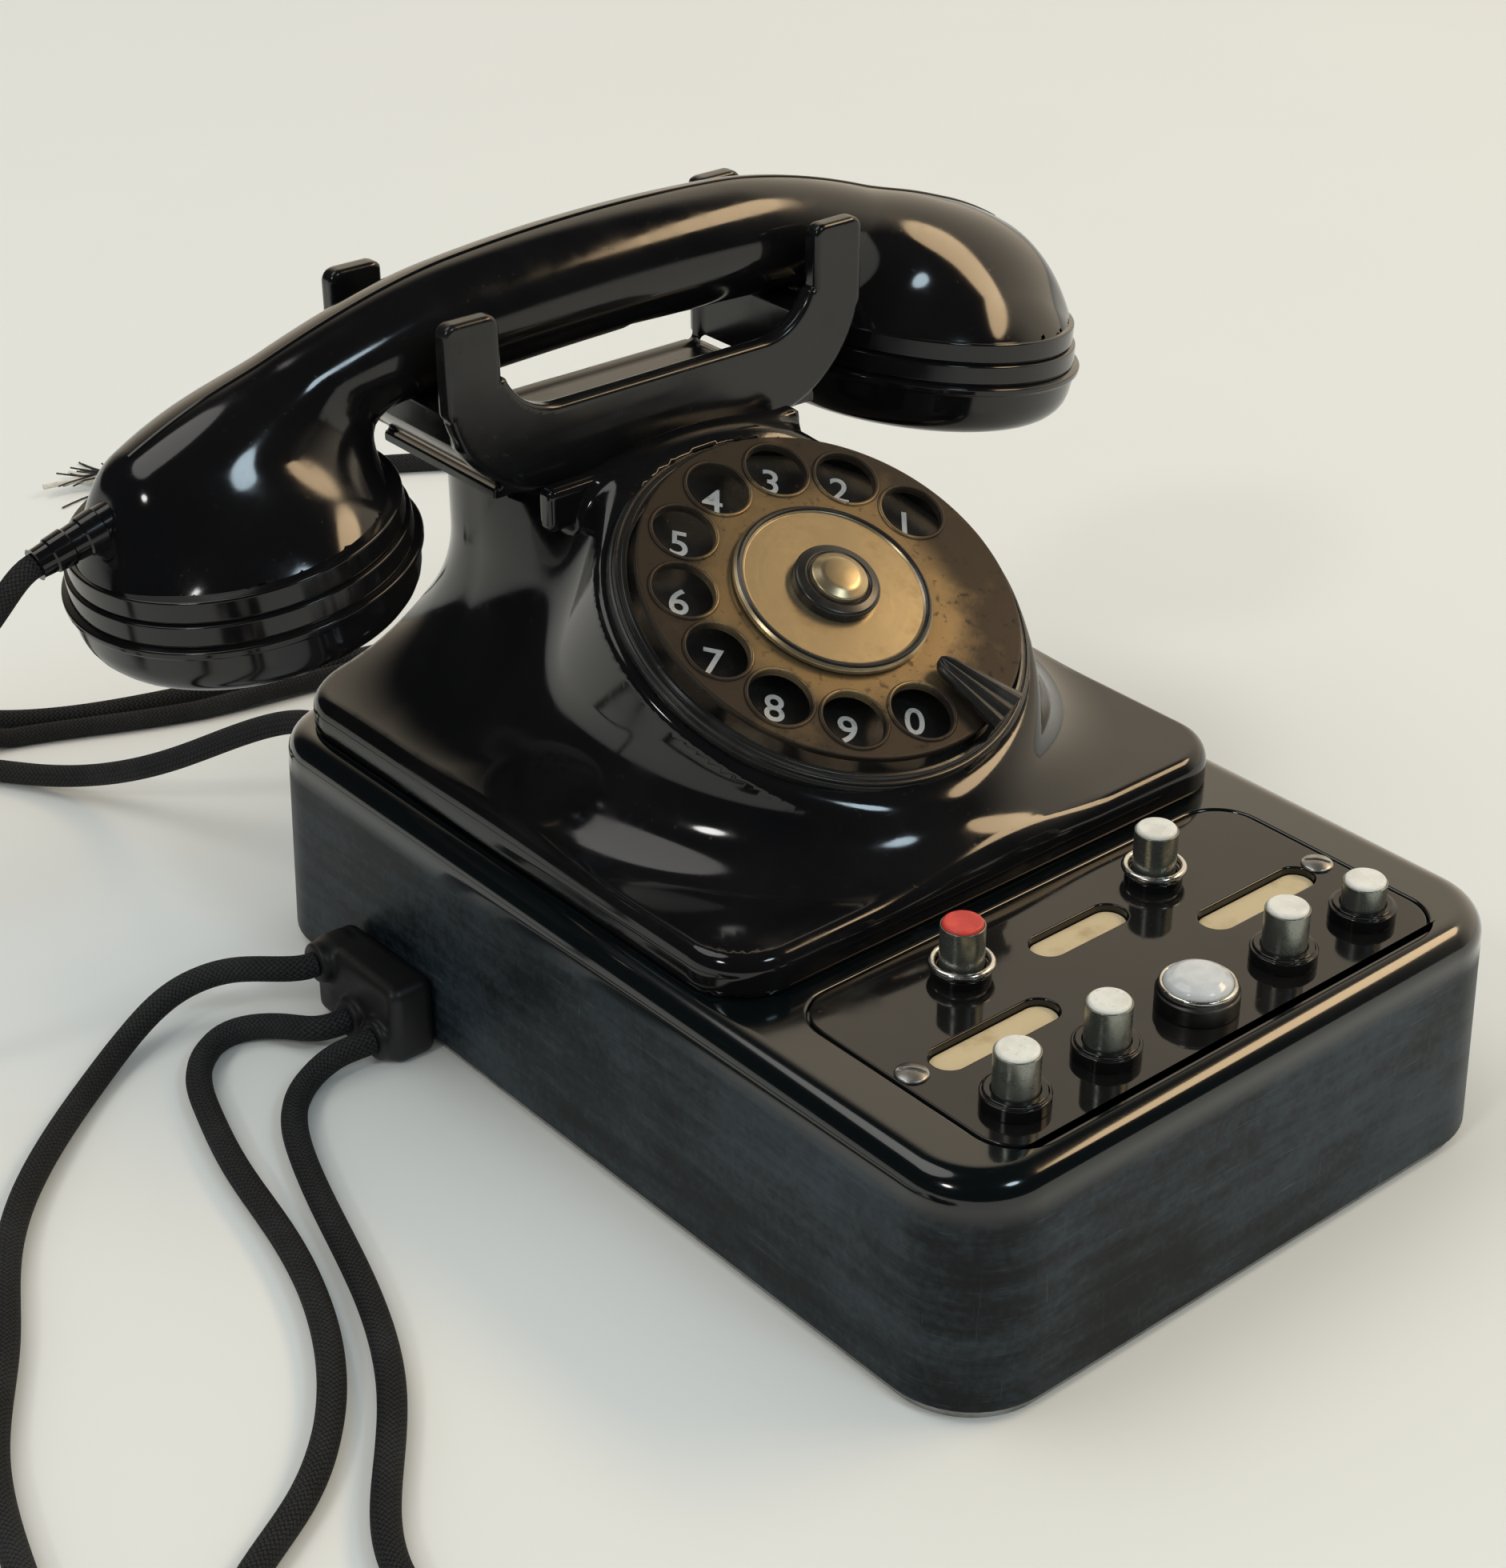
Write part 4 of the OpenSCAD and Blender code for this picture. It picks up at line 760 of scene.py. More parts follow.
def coil_path():
    """The put-away coil: its radius falls by a step each turn, stays for the half turn that climbs, and grows again."""
    first = STATION_ROUTE[-1][0] - COIL_MIDDLE[0]
    last = first - COIL_TURNS * COIL_STEP
    turn = np.linspace(0, 2 * COIL_TURNS + 0.5, int((2 * COIL_TURNS + 0.5) * 96) + 1)[1:]
    climb = np.clip((turn - COIL_TURNS) / 0.5, 0, 1)
    radius = last + COIL_STEP * (np.maximum(COIL_TURNS - turn, 0) + np.maximum(turn - COIL_TURNS - 0.5, 0))
    height = STATION_ROUTE[-1][2] + COIL_RISE * climb ** 2 * (3 - 2 * climb)
    path = np.stack([COIL_MIDDLE[0] + radius * np.cos(TURN * turn),
                     COIL_MIDDLE[1] - radius * np.sin(TURN * turn), height], axis=-1)
    straight = path[-1] + np.array([[0, 1, 0]]) * np.linspace(1.5, BOX_CORD, 3)[:, None]
    return np.concatenate([path, straight])


def free_cord(name, path, diameter, nodes, body="phone"):
    """A braided cord along a path."""
    shape, wrap = tube(path, diameter)
    cord = piece(name, shape, CLOTH, "cloth", body, *nodes, uv=wrap)
    path[0] * MM
    path * MM
    return cord


# Finishes


def moulded_black(name, dark, worn, polish, smear, ripple=0.0):
    """Black phenolic moulding: cloudy colour, finger smears in the polish, and a faint moulded ripple."""
    f = Finish(name)
    cloud = f.noise(35, 4).ease(0.35, 0.75)
    smudge = f.noise(60, 5, 0.6).ease(0.45, 0.72)
    speck = f.noise(900, 2).ease(0.66, 0.74)
    if ripple:
        f.set(Normal=f.bump(f.noise(120, 2), ripple))
    return f.set(Base_Color=f.mix(cloud * 0.6 + speck * 0.4, dark, worn),
                 Roughness=polish + smudge * smear + speck * 0.1, IOR=1.5)


def scuffed_black(name):
    """Box moulding: polished top and rolled edge, walls dulled by a blue-grey bloom in wiped clouds, fine scratches."""
    f = Finish(name)
    polished = f.parts(f.place(), 2).ease(0.038, 0.0425)
    grain = f.noise(700, 3, 0.6)
    sweep = f.noise(1.0, 5, 0.7, f.mapped((26, 26, 240), (0.3, 0.7, 0.1)))
    bloom = (f.noise(24, 5, 0.62) * 0.5 + sweep * 0.32 + grain * 0.18).ease(0.39, 0.66)
    level = f.noise(1.0, 4, 0.65, f.mapped((60, 60, 1400))).ease(0.62, 0.7)
    steep = f.noise(1.0, 4, 0.65, f.mapped((900, 900, 45), (0.5, 0.2, 0.3))).ease(0.64, 0.72)
    dull = bloom * (1 - polished)
    scratch = level.most(steep) * (1 - polished * 0.7)
    colour = f.mix(dull, (0.002, 0.0035, 0.004), (0.032, 0.046, 0.055))
    return f.set(Base_Color=f.mix(scratch * (0.12 + dull * 0.3), colour, (0.09, 0.105, 0.11)),
                 Roughness=0.38 - polished * 0.24 + grain * 0.05, IOR=1.28, Coat_Weight=polished, Coat_Roughness=0.08,
                 Normal=f.bump((grain * 0.6 + scratch * 0.4) * (1 - polished), 0.03, 0.6))


def metal(name, bright, stained, polish, stain_size=180.0, share=0.6, metallic=1.0):
    """Plated or bare metal: stains that dull both its colour and its polish, with fine pitting."""
    f = Finish(name)
    stain = f.noise(stain_size, 5, 0.65).ease(0.4, 0.75)
    pit = f.noise(2600, 2).ease(0.62, 0.7)
    return f.set(Base_Color=f.mix(stain * share + pit * 0.2, bright, stained),
                 Roughness=polish + stain * 0.2 + pit * 0.1, Metallic=metallic, Normal=f.bump(1 - pit, 0.02, 0.5))


def plain_moulding(name, fresh, aged, polish):
    """Coloured key plastic: mottled by age and darker where dirt has settled."""
    f = Finish(name)
    age = f.noise(240, 4, 0.6).ease(0.35, 0.7)
    dirt = f.noise(900, 3).ease(0.6, 0.75)
    colour = f.mix(age, fresh, aged)
    return f.set(Base_Color=f.mix(dirt * 0.35, colour, tuple(0.45 * c for c in aged)), Roughness=polish + age * 0.1,
                 Normal=f.bump(f.noise(500, 2), 0.02, 0.5))


def card_paper(name):
    """Label card: cream paper with fibres, brown age at some spots, and no lettering."""
    f = Finish(name)
    fibre = f.noise(1.0, 4, 0.7, f.mapped((500, 2200, 500)))
    foxing = f.noise(150, 4).ease(0.5, 0.75)
    return f.set(Base_Color=f.mix(foxing * 0.7 + fibre * 0.3, (0.6, 0.49, 0.29), (0.4, 0.29, 0.14)), Roughness=0.75,
                 Normal=f.bump(fibre, 0.03, 0.6))


def braid(name, dark, light, strands=14.0):
    """Cotton braid on the cord's own wrap: two crossing families of strands that pass over and under by turns.

    One family counts turns plus length, the other turns minus length; the parity of both says which lies on top,
    and a strand's height is a half sine across its width. That height also paints shade into the hollows between
    strands and lightens their tops; fibres and dust add lighter flecks all over.
    """
    f = Finish(name)
    wrap = f.node("ShaderNodeUVMap", {"uv_map": "wrap"}, {})
    turn, length = f.parts(wrap, 0), f.parts(wrap, 1)
    one, two = (turn + length) * strands, (turn - length) * strands
    over = (one.whole() + two.whole()).rest_of(2.0)
    first, second = (one * np.pi).sine(), (two * np.pi).sine()
    height = abs(first) * over + abs(second) * (1 - over)
    fuzz = f.noise(1500, 4, 0.7)
    dust = f.noise(45, 4).ease(0.4, 0.75)
    # painted shade: the strand height darkens the weave's hollows and lightens the strand tops
    shade = height * 0.55 + fuzz * 0.5 + dust * 0.25 - 0.2
    return f.set(Base_Color=f.mix(shade.ease(0.1, 1.0), dark, light), Roughness=0.82 + fuzz * 0.12, IOR=1.4,
                 Normal=f.bump(height * 0.8 + fuzz * 0.4, 0.28, 0.9))


def dial_rings(f, density, rough):
    """Distance from the dial's shaft in its own plane, in millimetres, and noise that changes with it alone."""
    local = f.node("ShaderNodeMapping", {"vector_type": "TEXTURE"},
                   {"Vector": f.place(), "Location": tuple(DIAL_CENTRE * MM), "Rotation": (DIAL_LEAN, 0, 0)})
    x, y = f.parts(local, 0), f.parts(local, 1)
    radius = (x * x + y * y) ** 0.5 * (1 / MM)
    return radius, f.noise(1.0, 3, rough, f.node("ShaderNodeCombineXYZ", {}, {0: radius * density}))


def bronze_with_wear_and_sheen(name):
    """Finger wheel: dark brown coating rubbed to gold at places round the holes, and a painted golden sheen near the
    card, both broken into rings.
    """
    f = Finish(name)
    radius, rings = dial_rings(f, 3.2, 0.6)
    rub = f.noise(70, 5, 0.6).ease(0.4, 0.7)
    # painted sheen: gold colour that grows towards the card disc
    sheen_near_card = 1 - radius.ease(20.0, 31.0)
    wear_and_sheen = (sheen_near_card * 0.75 + rub * 0.35) * (0.55 + rings * 0.7)
    spot = f.noise(600, 4).ease(0.56, 0.7)
    colour = f.mix(wear_and_sheen.ease(0.1, 0.9), (0.03, 0.022, 0.015), (0.26, 0.19, 0.1))
    return f.set(Base_Color=f.mix(spot * 0.55, colour, (0.02, 0.015, 0.012)), Metallic=0.55 + wear_and_sheen * 0.3,
                 Roughness=0.42 + spot * 0.2 - sheen_near_card * 0.1, Normal=f.bump(rings * 0.6 + spot * 0.4, 0.025, 0.6))


def brushed_bronze(name):
    """Card disc and button: gold bronze with fine turning marks and brown stains."""
    f = Finish(name)
    _, marks = dial_rings(f, 9.0, 0.7)
    stain = f.noise(130, 5, 0.6).ease(0.45, 0.75)
    colour = f.mix(marks, (0.42, 0.34, 0.2), (0.54, 0.44, 0.28))
    return f.set(Base_Color=f.mix(stain * 0.6, colour, (0.17, 0.12, 0.065)), Metallic=0.9, Roughness=0.3 + stain * 0.18,
                 Normal=f.bump(marks, 0.02, 0.6))


def lens_glass(name):
    """Lamp lens: pale milky glass with faint clouds in its colour and polish."""
    f = Finish(name)
    cloud = f.noise(300, 3).ease(0.3, 0.8)
    return f.set(Base_Color=f.mix(cloud, (0.5, 0.515, 0.5), (0.62, 0.63, 0.61)), Roughness=0.08 + cloud * 0.08, IOR=1.5)


def ink_white(name):
    """Dial figures: white paint, a little yellowed and worn."""
    f = Finish(name)
    wear = f.noise(900, 4).ease(0.55, 0.75)
    return f.set(Base_Color=f.mix(wear * 0.7, (0.55, 0.54, 0.5), (0.2, 0.19, 0.17)), Roughness=0.5)


def winding_wire(name):
    """Enamelled copper winding: fine lines round the coil, with a varnish sheen."""
    f = Finish(name)
    line = (f.parts(f.place(), 0) * (TURN / (0.4 * MM))).sine() * 0.5 + 0.5
    return f.set(Base_Color=f.mix(line, (0.16, 0.05, 0.02), (0.4, 0.16, 0.07)), Metallic=0.4,
                 Roughness=0.3 + line * 0.15, Normal=f.bump(line, 0.1))


def pressed_board(name):
    """Brown laminated board: paper clouds and thin layers."""
    f = Finish(name)
    cloud = f.noise(160, 4)
    layer = f.noise(1.0, 2, 0.5, f.mapped((60, 60, 2500)))
    return f.set(Base_Color=f.mix(cloud * 0.6 + layer * 0.4, (0.16, 0.08, 0.035), (0.3, 0.17, 0.08)), Roughness=0.45)


GLOSS = moulded_black("handset black", (0.004, 0.004, 0.0045), (0.009, 0.0085, 0.008), 0.09, 0.09, 0.01)
HOUSE = moulded_black("housing black", (0.004, 0.004, 0.0045), (0.01, 0.0095, 0.009), 0.08, 0.1, 0.01)
SATIN = moulded_black("cradle black", (0.0045, 0.0047, 0.005), (0.011, 0.011, 0.011), 0.17, 0.14, 0.012)
PANEL = moulded_black("panel black", (0.005, 0.005, 0.005), (0.011, 0.01, 0.009), 0.06, 0.08, 0.006)
BOX = scuffed_black("box black")
DIAL_BLACK = moulded_black("dial black", (0.008, 0.008, 0.008), (0.03, 0.027, 0.022), 0.22, 0.2)
RUBBER = moulded_black("gland rubber", (0.004, 0.004, 0.004), (0.01, 0.0095, 0.009), 0.45, 0.25, 0.05)
STEM = metal("key plating", (0.27, 0.285, 0.25), (0.11, 0.11, 0.09), 0.24, 260, 0.35, 0.88)
NICKEL = metal("nickel", (0.72, 0.71, 0.67), (0.34, 0.31, 0.25), 0.16, 300, 0.5)
STEEL = metal("steel", (0.46, 0.46, 0.45), (0.2, 0.18, 0.15), 0.3)
BRASS = metal("brass", (0.62, 0.45, 0.18), (0.3, 0.19, 0.08), 0.25)
DARK_METAL = metal("dark metal", (0.09, 0.088, 0.085), (0.035, 0.032, 0.03), 0.35)
CREAM = plain_moulding("cream keys", (0.76, 0.75, 0.67), (0.64, 0.62, 0.53), 0.3)
RED = plain_moulding("red key", (0.66, 0.06, 0.04), (0.5, 0.04, 0.03), 0.3)
CARD = card_paper("label card")
CLOTH = braid("cotton braid", (0.0025, 0.003, 0.003), (0.032, 0.034, 0.033))
CLOTH_END = plain_moulding("cut threads", (0.02, 0.018, 0.016), (0.05, 0.045, 0.04), 0.8)
CORE = plain_moulding("core covering", (0.7, 0.67, 0.6), (0.5, 0.44, 0.35), 0.6)
WHEEL = bronze_with_wear_and_sheen("wheel bronze")
BRONZE = brushed_bronze("card bronze")
LENS = lens_glass("lamp lens")
INK = ink_white("dial figures")
WINDING = winding_wire("winding")
BOARD = pressed_board("board")

# Cords of the telephone


def lay_cords():
    """The four cords: the handset's, the line's with its frayed end, the loop, and the station cord with its coil."""
    path = smooth_route(HANDSET_ROUTE, BOOT_TIP - BOOT_ROOT, (0, -1, 0))
    path[:, 2] = np.maximum(path[:, 2], HANDSET_CORD / 2 + FLOOR_GAP)
    cord = free_cord("handset_braid", path, HANDSET_CORD, ["handset_cord"], None)
    path[0] * MM
    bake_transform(cord)

    path = smooth_route(LINE_ROUTE, (0, 1, 0), LINE_WAY)
    wires, threads = frayed_end(path[-1], unit(LINE_WAY))
    free_cord("line_braid", path, BOX_CORD, ["line_cord"])

    path = smooth_route(LOOP_ROUTE, (-1, 0, 0), (1, 0, 0))
    free_cord("loop_braid", path, BOX_CORD, ["loop_cord"])

    path = np.concatenate([smooth_route(STATION_ROUTE, (-1, 0, 0), (0, -1, 0)), coil_path()])
    plug = plug_piece(path[-1])
    free_cord("station_braid", path, BOX_CORD, ["station_cord", "cord_coil"])
    coil_tie()


def frayed_end(tip, ahead):
    """Two bared cores and a tuft of threads: each a thin tube on a line that bends aside and down with its length."""
    chance = np.random.default_rng(7)
    aside = np.array([-ahead[1], ahead[0], 0])
    wires, threads = [], []
    for turn, reach in CORES:
        t = np.linspace(0, 1, 12)[:, None]
        line = tip - ahead * 1.5 + ahead * reach * t + aside * reach * turn * t ** 2
        line[:, 2] += np.sign(turn) * 0.7 - 0.4 * t[:, 0]
        wires.append(tube(line, 1.5, 8)[0])
    for _ in range(THREADS):
        reach = chance.uniform(7, 22)
        start = aside * chance.uniform(-1.9, 1.9) + np.array([0, 0, chance.uniform(-1.6, 1.9)])
        spread = chance.uniform(-0.8, 0.8)
        t = np.linspace(0, 1, 10)[:, None]
        line = tip - ahead + start + ahead * reach * t + aside * reach * spread * t ** 2
        line[:, 2] = np.maximum(line[:, 2] + chance.uniform(-3, 3) * t[:, 0] ** 2, 0.4)
        threads.append(tube(line, 0.5, 5)[0])
    return (piece("core_wires", joined(*wires), CORE, "cloth", "phone"),
            piece("cut_threads", joined(*threads), CLOTH_END, "cloth", "phone"))


def plug_piece(start):
    """Round four-pin plug along +Y: a turned body with finger grooves, its pins in a ring on the front face."""
    profile = rounded_line([(0, 0), (3.4, 0, 0.6), (4.2, 5, 2), (7.4, 8, 2), (8.2, 9.5, 0.8), (8.6, 25, 0.5),
                            (8.6, PLUG_LENGTH, 1.2), (0, PLUG_LENGTH)])
    body = turned(profile, 72, ripple=lambda a, z: -0.25 * np.cos(24 * a) ** 8 * ((z > 10) & (z < 26)))
    root, end = PLUG_LENGTH - 0.5, PLUG_LENGTH + 9
    pin = turned(rounded_line([(0, root), (PIN_RADIUS, root), (PIN_RADIUS, end, 0.8), (0, end)]), 20)
    pins = [moved(pin, (*place, 0)) for place in on_circle(PIN_RING, TURN * (np.arange(4) / 4 + 1 / 8))]
    made, prongs = (piece(name, tilted(shape, start, (1, 0, 0), (0, 1, 0)), finish, slot, "phone", *nodes)
                    for name, shape, finish, slot, *nodes in (
                        ("station_plug", body, DIAL_BLACK, "bakelite", "cord_plug"),
                        ("plug_pins", joined(*pins), BRASS, "brass")))
    prongs.parent = made
    return made


def coil_tie():
    """Tape round the coil's turns at one place: a flat band carried round an upright rounded rectangle."""
    outer = STATION_ROUTE[-1][0] - COIL_MIDDLE[0]
    inner = outer - COIL_TURNS * COIL_STEP
    half = ((outer - inner) / 2 + BOX_CORD / 2 + 0.9, (COIL_RISE + BOX_CORD) / 2 + 0.35)
    loop = rounded_loop(half, 2.5, ((outer + inner) / 2, half[1] + 0.02))
    rows = []
    for across, draw in ((-TIE_HALF, 0), (TIE_HALF, 0), (TIE_HALF, TIE_THICK), (-TIE_HALF, TIE_THICK)):
        ring = drawn_in(loop, draw)
        rows.append(np.stack([ring[:, 0], np.full(len(ring), float(across)), ring[:, 1]], axis=-1))
    band = grid(np.array(rows), wrap_rows=True, wrap_columns=True)
    way = (*on_circle(1, np.radians(-60)), 0)
    piece("coil_tie", tilted(band, (*COIL_MIDDLE, 0), way, (0, 0, 1)), CARD, "cloth", "phone")


# Box with its key panel


def base_loop(inset):
    """The box's outline, drawn in by an inset."""
    return rounded_loop((BASE_HALF[0] - inset, BASE_HALF[1] - inset), max(BASE_CORNER - inset, 2))


def panel_loop(inset):
    """The key panel's outline, drawn in by an inset."""
    return rounded_loop((PANEL_HALF[0] - inset, PANEL_HALF[1] - inset), PANEL_CORNER - inset, (0, PANEL_Y))


def profile_rings(profile, loop_of):
    """A profile of (inset, height) carried round a loop that is drawn in by the inset."""
    return grid(np.array([at_height(loop_of(inset), z) for inset, z in profile]), wrap_columns=True)


def box_piece():
    """Drafted box: outer wall, rolled top edge, panel recess and inner wall as one closed skin with key holes."""
    lean = (BASE_HEIGHT - BASE_FOOT) * BASE_DRAFT
    under = BASE_HEIGHT - BASE_TOP
    wall = rounded_line([(BASE_WALL, BASE_FOOT), (0, BASE_FOOT, 0.7), (lean, BASE_HEIGHT, BASE_EDGE),
                         (lean + BASE_EDGE * 1.3, BASE_HEIGHT)], steps=10)
    inner = [(BASE_WALL, BASE_FOOT), (BASE_WALL + lean, under)]
    recess = [(inset, BASE_HEIGHT - deep) for inset, deep in (
        (-0.7, 0), (-0.55, 0), (-0.3, 0.12), (-0.1, 0.35), (0, 0.7), (0, PANEL_DEEP))]
    holes = [circle(KEY_RADIUS + 1, place) for place in KEY_PLACES] + [circle(LAMP_HOLE, LAMP_PLACE)]
    walls = [flipped(grid(np.array([at_height(h, PANEL_SEAT), at_height(h, under)]), wrap_columns=True))
             for h in holes]
    top = [at_height(base_loop(wall[-1][0]), BASE_HEIGHT), at_height(panel_loop(recess[0][0])[::-1], BASE_HEIGHT)]
    shape = joined(
        profile_rings(wall, base_loop), filled(top, True), flipped(profile_rings(recess, panel_loop)),
        filled([at_height(panel_loop(0), PANEL_SEAT)] + [at_height(h[::-1], PANEL_SEAT) for h in holes], True),
        *walls,
        filled([at_height(base_loop(inner[1][0]), under)] + [at_height(h[::-1], under) for h in holes], False),
        flipped(profile_rings(inner, base_loop)))
    piece("box_shell", shape, BOX, "box_bakelite", "phone", "base_shell", sharp=35)


def screw_field(p):
    """Slotted screw head: a cylinder under a dome, less a slanted slot."""
    x, y, z = p.T
    dome = np.linalg.norm(p - np.array([0, 0, SCREW_DOME_Z]), axis=1) - SCREW_DOME
    head = round_and(round_and(np.hypot(x, y) - SCREW_RADIUS, dome, 0.3), -z, 0.1)
    return np.maximum(head, -np.maximum(np.abs(x * SLOT_WAY[0] + y * SLOT_WAY[1]) - SLOT_HALF, SLOT_LOW - z))


def panel_pieces():
    """Key panel with its bores and label windows, the cards under them, and the two slotted screws."""
    windows = [circle(KEY_RADIUS + BORE_PLAY, place) for place in KEY_PLACES]
    windows.append(circle(LAMP_HOLE + BORE_PLAY, LAMP_PLACE))
    cards = []
    half = LABEL_WIDTH / 2
    for x, y, length in LABELS:
        windows.append(rounded_loop((length / 2, half), half - 0.05, (x, y), 10, 8))
        card = rounded_loop((length / 2 - 0.2, half - 0.2), half - 0.3, (x, y), 8, 8)
        cards.append(plate(card, [], PANEL_SEAT, PANEL_SEAT + CARD_THICK, 0.1))
    piece("panel_plate", plate(panel_loop(PANEL_GROOVE), windows, PANEL_SEAT, BASE_HEIGHT, 0.35), PANEL, "bakelite",
          "phone", "key_panel", sharp=25)
    piece("blank_cards", joined(*cards), CARD, "card", "phone", "label_cards")
    head, normals = moulded(screw_field, (-3.3, -3.3, -0.3), (3.3, 3.3, 1.5), 0.16)
    both = [moved(head, (x, PANEL_Y, BASE_HEIGHT)) for x in (-PANEL_SCREW_X, PANEL_SCREW_X)]
    piece("panel_screw_heads", joined(*both), STEEL, "plated", "phone", "panel_screws",
          normals=np.concatenate([normals, normals]))


def key_pieces():
    """Six push keys: plated sleeve that holds a coloured cap, and collar, with bright rings on the rear pair."""
    collars, rings = [], []
    inside, bore = KEY_RADIUS - 0.3, KEY_RADIUS + COLLAR_GAP
    for i, ((x, y), drop) in enumerate(zip(KEY_PLACES, KEY_DROPS)):
        place = (x, y, BASE_HEIGHT)
        rear = i >= RED_KEY
        wide, tall = (5.3, 2) if rear else (6, 3)
        collar = [(bore, 0), (wide, 0, 0.15), (wide, tall - 0.55, 0.25), (wide - 0.55, tall - 0.45, 0.15),
                  (wide - 0.65, tall, 0.3), (bore, tall, 0.25)]
        collars.append(moved(turned_ring(collar, 64, 4), place))
        if rear:
            rings.append(moved(bead(5.28, 2.7, 0.7), place))
        low, top = KEY_LOW - BASE_HEIGHT - drop, KEY_PROUD - drop
        rim_top, cap_top = top + KEY_CAP - 0.7, top + KEY_CAP
        sleeve = rounded_line([(0, low), (KEY_RADIUS, low, 0.3), (KEY_RADIUS, rim_top, 0.12),
                               (inside, rim_top, 0.1), (inside, top), (0, top)], steps=3)
        cap = rounded_line([(0, top + 0.02), (inside - 0.02, top + 0.02), (inside - 0.02, cap_top, 0.6),
                            (KEY_RADIUS * 0.5, cap_top - 0.02), (0, cap_top - 0.12)], steps=5)
        n = i + 1
        colour, slot = (RED, "red_cap") if i == RED_KEY else (CREAM, "cream_cap")
        piece(f"sleeve_{n}", moved(turned(sleeve, 64), place), STEM, "plated", f"key_{n}", f"key_stem_{n}")
        piece(f"cap_{n}", moved(turned(cap, 64), place), colour, slot, f"key_{n}", f"key_cap_{n}")
    piece("collar_set", joined(*collars), PANEL, "bakelite", "phone", "key_collars")
    piece("bright_rings", joined(*rings), NICKEL, "plated", "phone", "collar_rings")


def lamp_pieces():
    """Signal lamp: ribbed ring whose radius ripples round it, a domed lens, and a bright rim between them."""
    place = (*LAMP_PLACE, BASE_HEIGHT)
    ring = rounded_line([(LAMP_BORE, 0), (LAMP_RADIUS, 0, 0.2), (LAMP_RADIUS, 3.2, 0.3), (6.95, 3.45, 0.2),
                         (6.9, LAMP_HEIGHT, 0.3), (LAMP_BORE, LAMP_HEIGHT, 0.2)], closed=True, steps=4)

    def ribs(a, z):
        return np.where((z > 0.3) & (z < 3.0), -0.3 * (0.5 + 0.5 * np.cos(LAMP_RIBS * a)) ** 3, 0)

    ribbed = turned(ring, LAMP_RIBS * 8, closed=True, ripple=ribs)
    lens = rounded_line([(0, 0), (5.95, 0), (5.95, 5.4, 1.4), (4.0, 6.5, 3), (0, 6.8)], steps=8)
    piece("lamp_collar", moved(ribbed, place), DARK_METAL, "dark_metal", "phone", "lamp_ring")
    piece("lamp_glass", moved(turned(lens, 72), place), LENS, "lens", "phone", "lamp_lens")
    piece("lamp_rim", moved(bead(6.35, LAMP_HEIGHT + 0.15, 0.45), place), NICKEL, "plated", "phone")


def gland_field(p):
    """Side gland: a rounded block on the floor with a bead at each cord."""
    block = block_distance(p, GLAND_PLACE, GLAND_HALF, 2.5)
    for _, y, z in (LOOP_ROUTE[0], LOOP_ROUTE[-1], STATION_ROUTE[0]):
        round_it = np.hypot(p[:, 1] - y, p[:, 2] - z) - GLAND_BEAD
        block = round_or(block, round_and(round_it, np.abs(p[:, 0] - GLAND_BEAD_X) - GLAND_BEAD_HALF, 1), 1.2)
    return np.maximum(block, 0.02 - p[:, 2])


def gland_pieces():
    """The side gland, and the two rear grommets as turned rings."""
    moulded_piece("cord_gland", gland_field, (-82, 41, -1), (-68, 71, 18.5), 0.6, RUBBER, "rubber", "phone",
                  "side_gland")
    rims = []
    for (x, _, z), cord in ((LINE_ROUTE[0], BOX_CORD), (HANDSET_ROUTE[-1], HANDSET_CORD)):
        bore = cord / 2 + 0.1
        ring = turned_ring([(bore, -3), (4.2, -3), (4.2, 0.2), (5, 0.2, 0.4), (5, 2.6, 0.8), (3.6, 4.4, 0.6),
                            (bore, 4.5, 0.2)], 40, 4)
        rims.append(tilted(ring, (x, BASE_HALF[1], z), (1, 0, 0), (0, 1, 0)))
    piece("cord_grommets", joined(*rims), RUBBER, "rubber", "phone", "rear_grommets")


# Telephone housing


def dial_place(p):
    """World points in the dial's frame: shifted to its centre and leaned back by its angle."""
    q = p - DIAL_CENTRE
    cos, sin = np.cos(DIAL_LEAN), np.sin(DIAL_LEAN)
    return q[:, 0], q[:, 1] * cos + q[:, 2] * sin, q[:, 2] * cos - q[:, 1] * sin


def housing_form(p):
    """Outer form: skirt, flared column and dial cone joined by hollows, within the skirt's plan, and a front ledge."""
    x, y, z = p.T
    plan = plan_distance(x, y - SKIRT_Y, SKIRT_HALF, SKIRT_CORNER)
    skirt = round_and(plan, z - SKIRT_TOP, SKIRT_EDGE)
    column = round_and(plan_distance(x, y - CRADLE_Y, COLUMN_HALF, COLUMN_CORNER), z - COLUMN_TOP, 2)
    dx, dy, dz = dial_place(p)
    cone = (np.hypot(dx, dy) - BOSS_RADIUS + (dz - DIAL_SEAT) * BOSS_SPREAD) / np.hypot(1, BOSS_SPREAD)
    boss = round_and(cone, dz - DIAL_SEAT, 1.6)
    form = round_or(round_or(skirt, column, COLUMN_FLARE), boss, BOSS_FLARE)
    form = round_and(form, plan, SKIRT_EDGE)
    return round_or(form, block_distance(p, LEDGE_PLACE, LEDGE_HALF, 1.2), 2.0)


def housing_field(p):
    """The outer form less itself a wall further in, open at the foot, with the dial's wells and the plunger's hole."""
    outer = housing_form(p)
    dx, dy, dz = dial_place(p)
    shell = np.maximum(outer, -outer - HOUSING_WALL)
    for radius, depth in WELLS:
        shell = np.maximum(shell, -np.maximum(np.hypot(dx, dy) - radius, depth - dz))
    plunger = np.hypot(p[:, 0], p[:, 1] - CRADLE_Y) - PLUNGER_HOLE
    shell = np.maximum(shell, -np.maximum(plunger, PLUNGER_LOW - p[:, 2]))
    return round_and(shell, BASE_HEIGHT - p[:, 2], 0.8)


# Dial


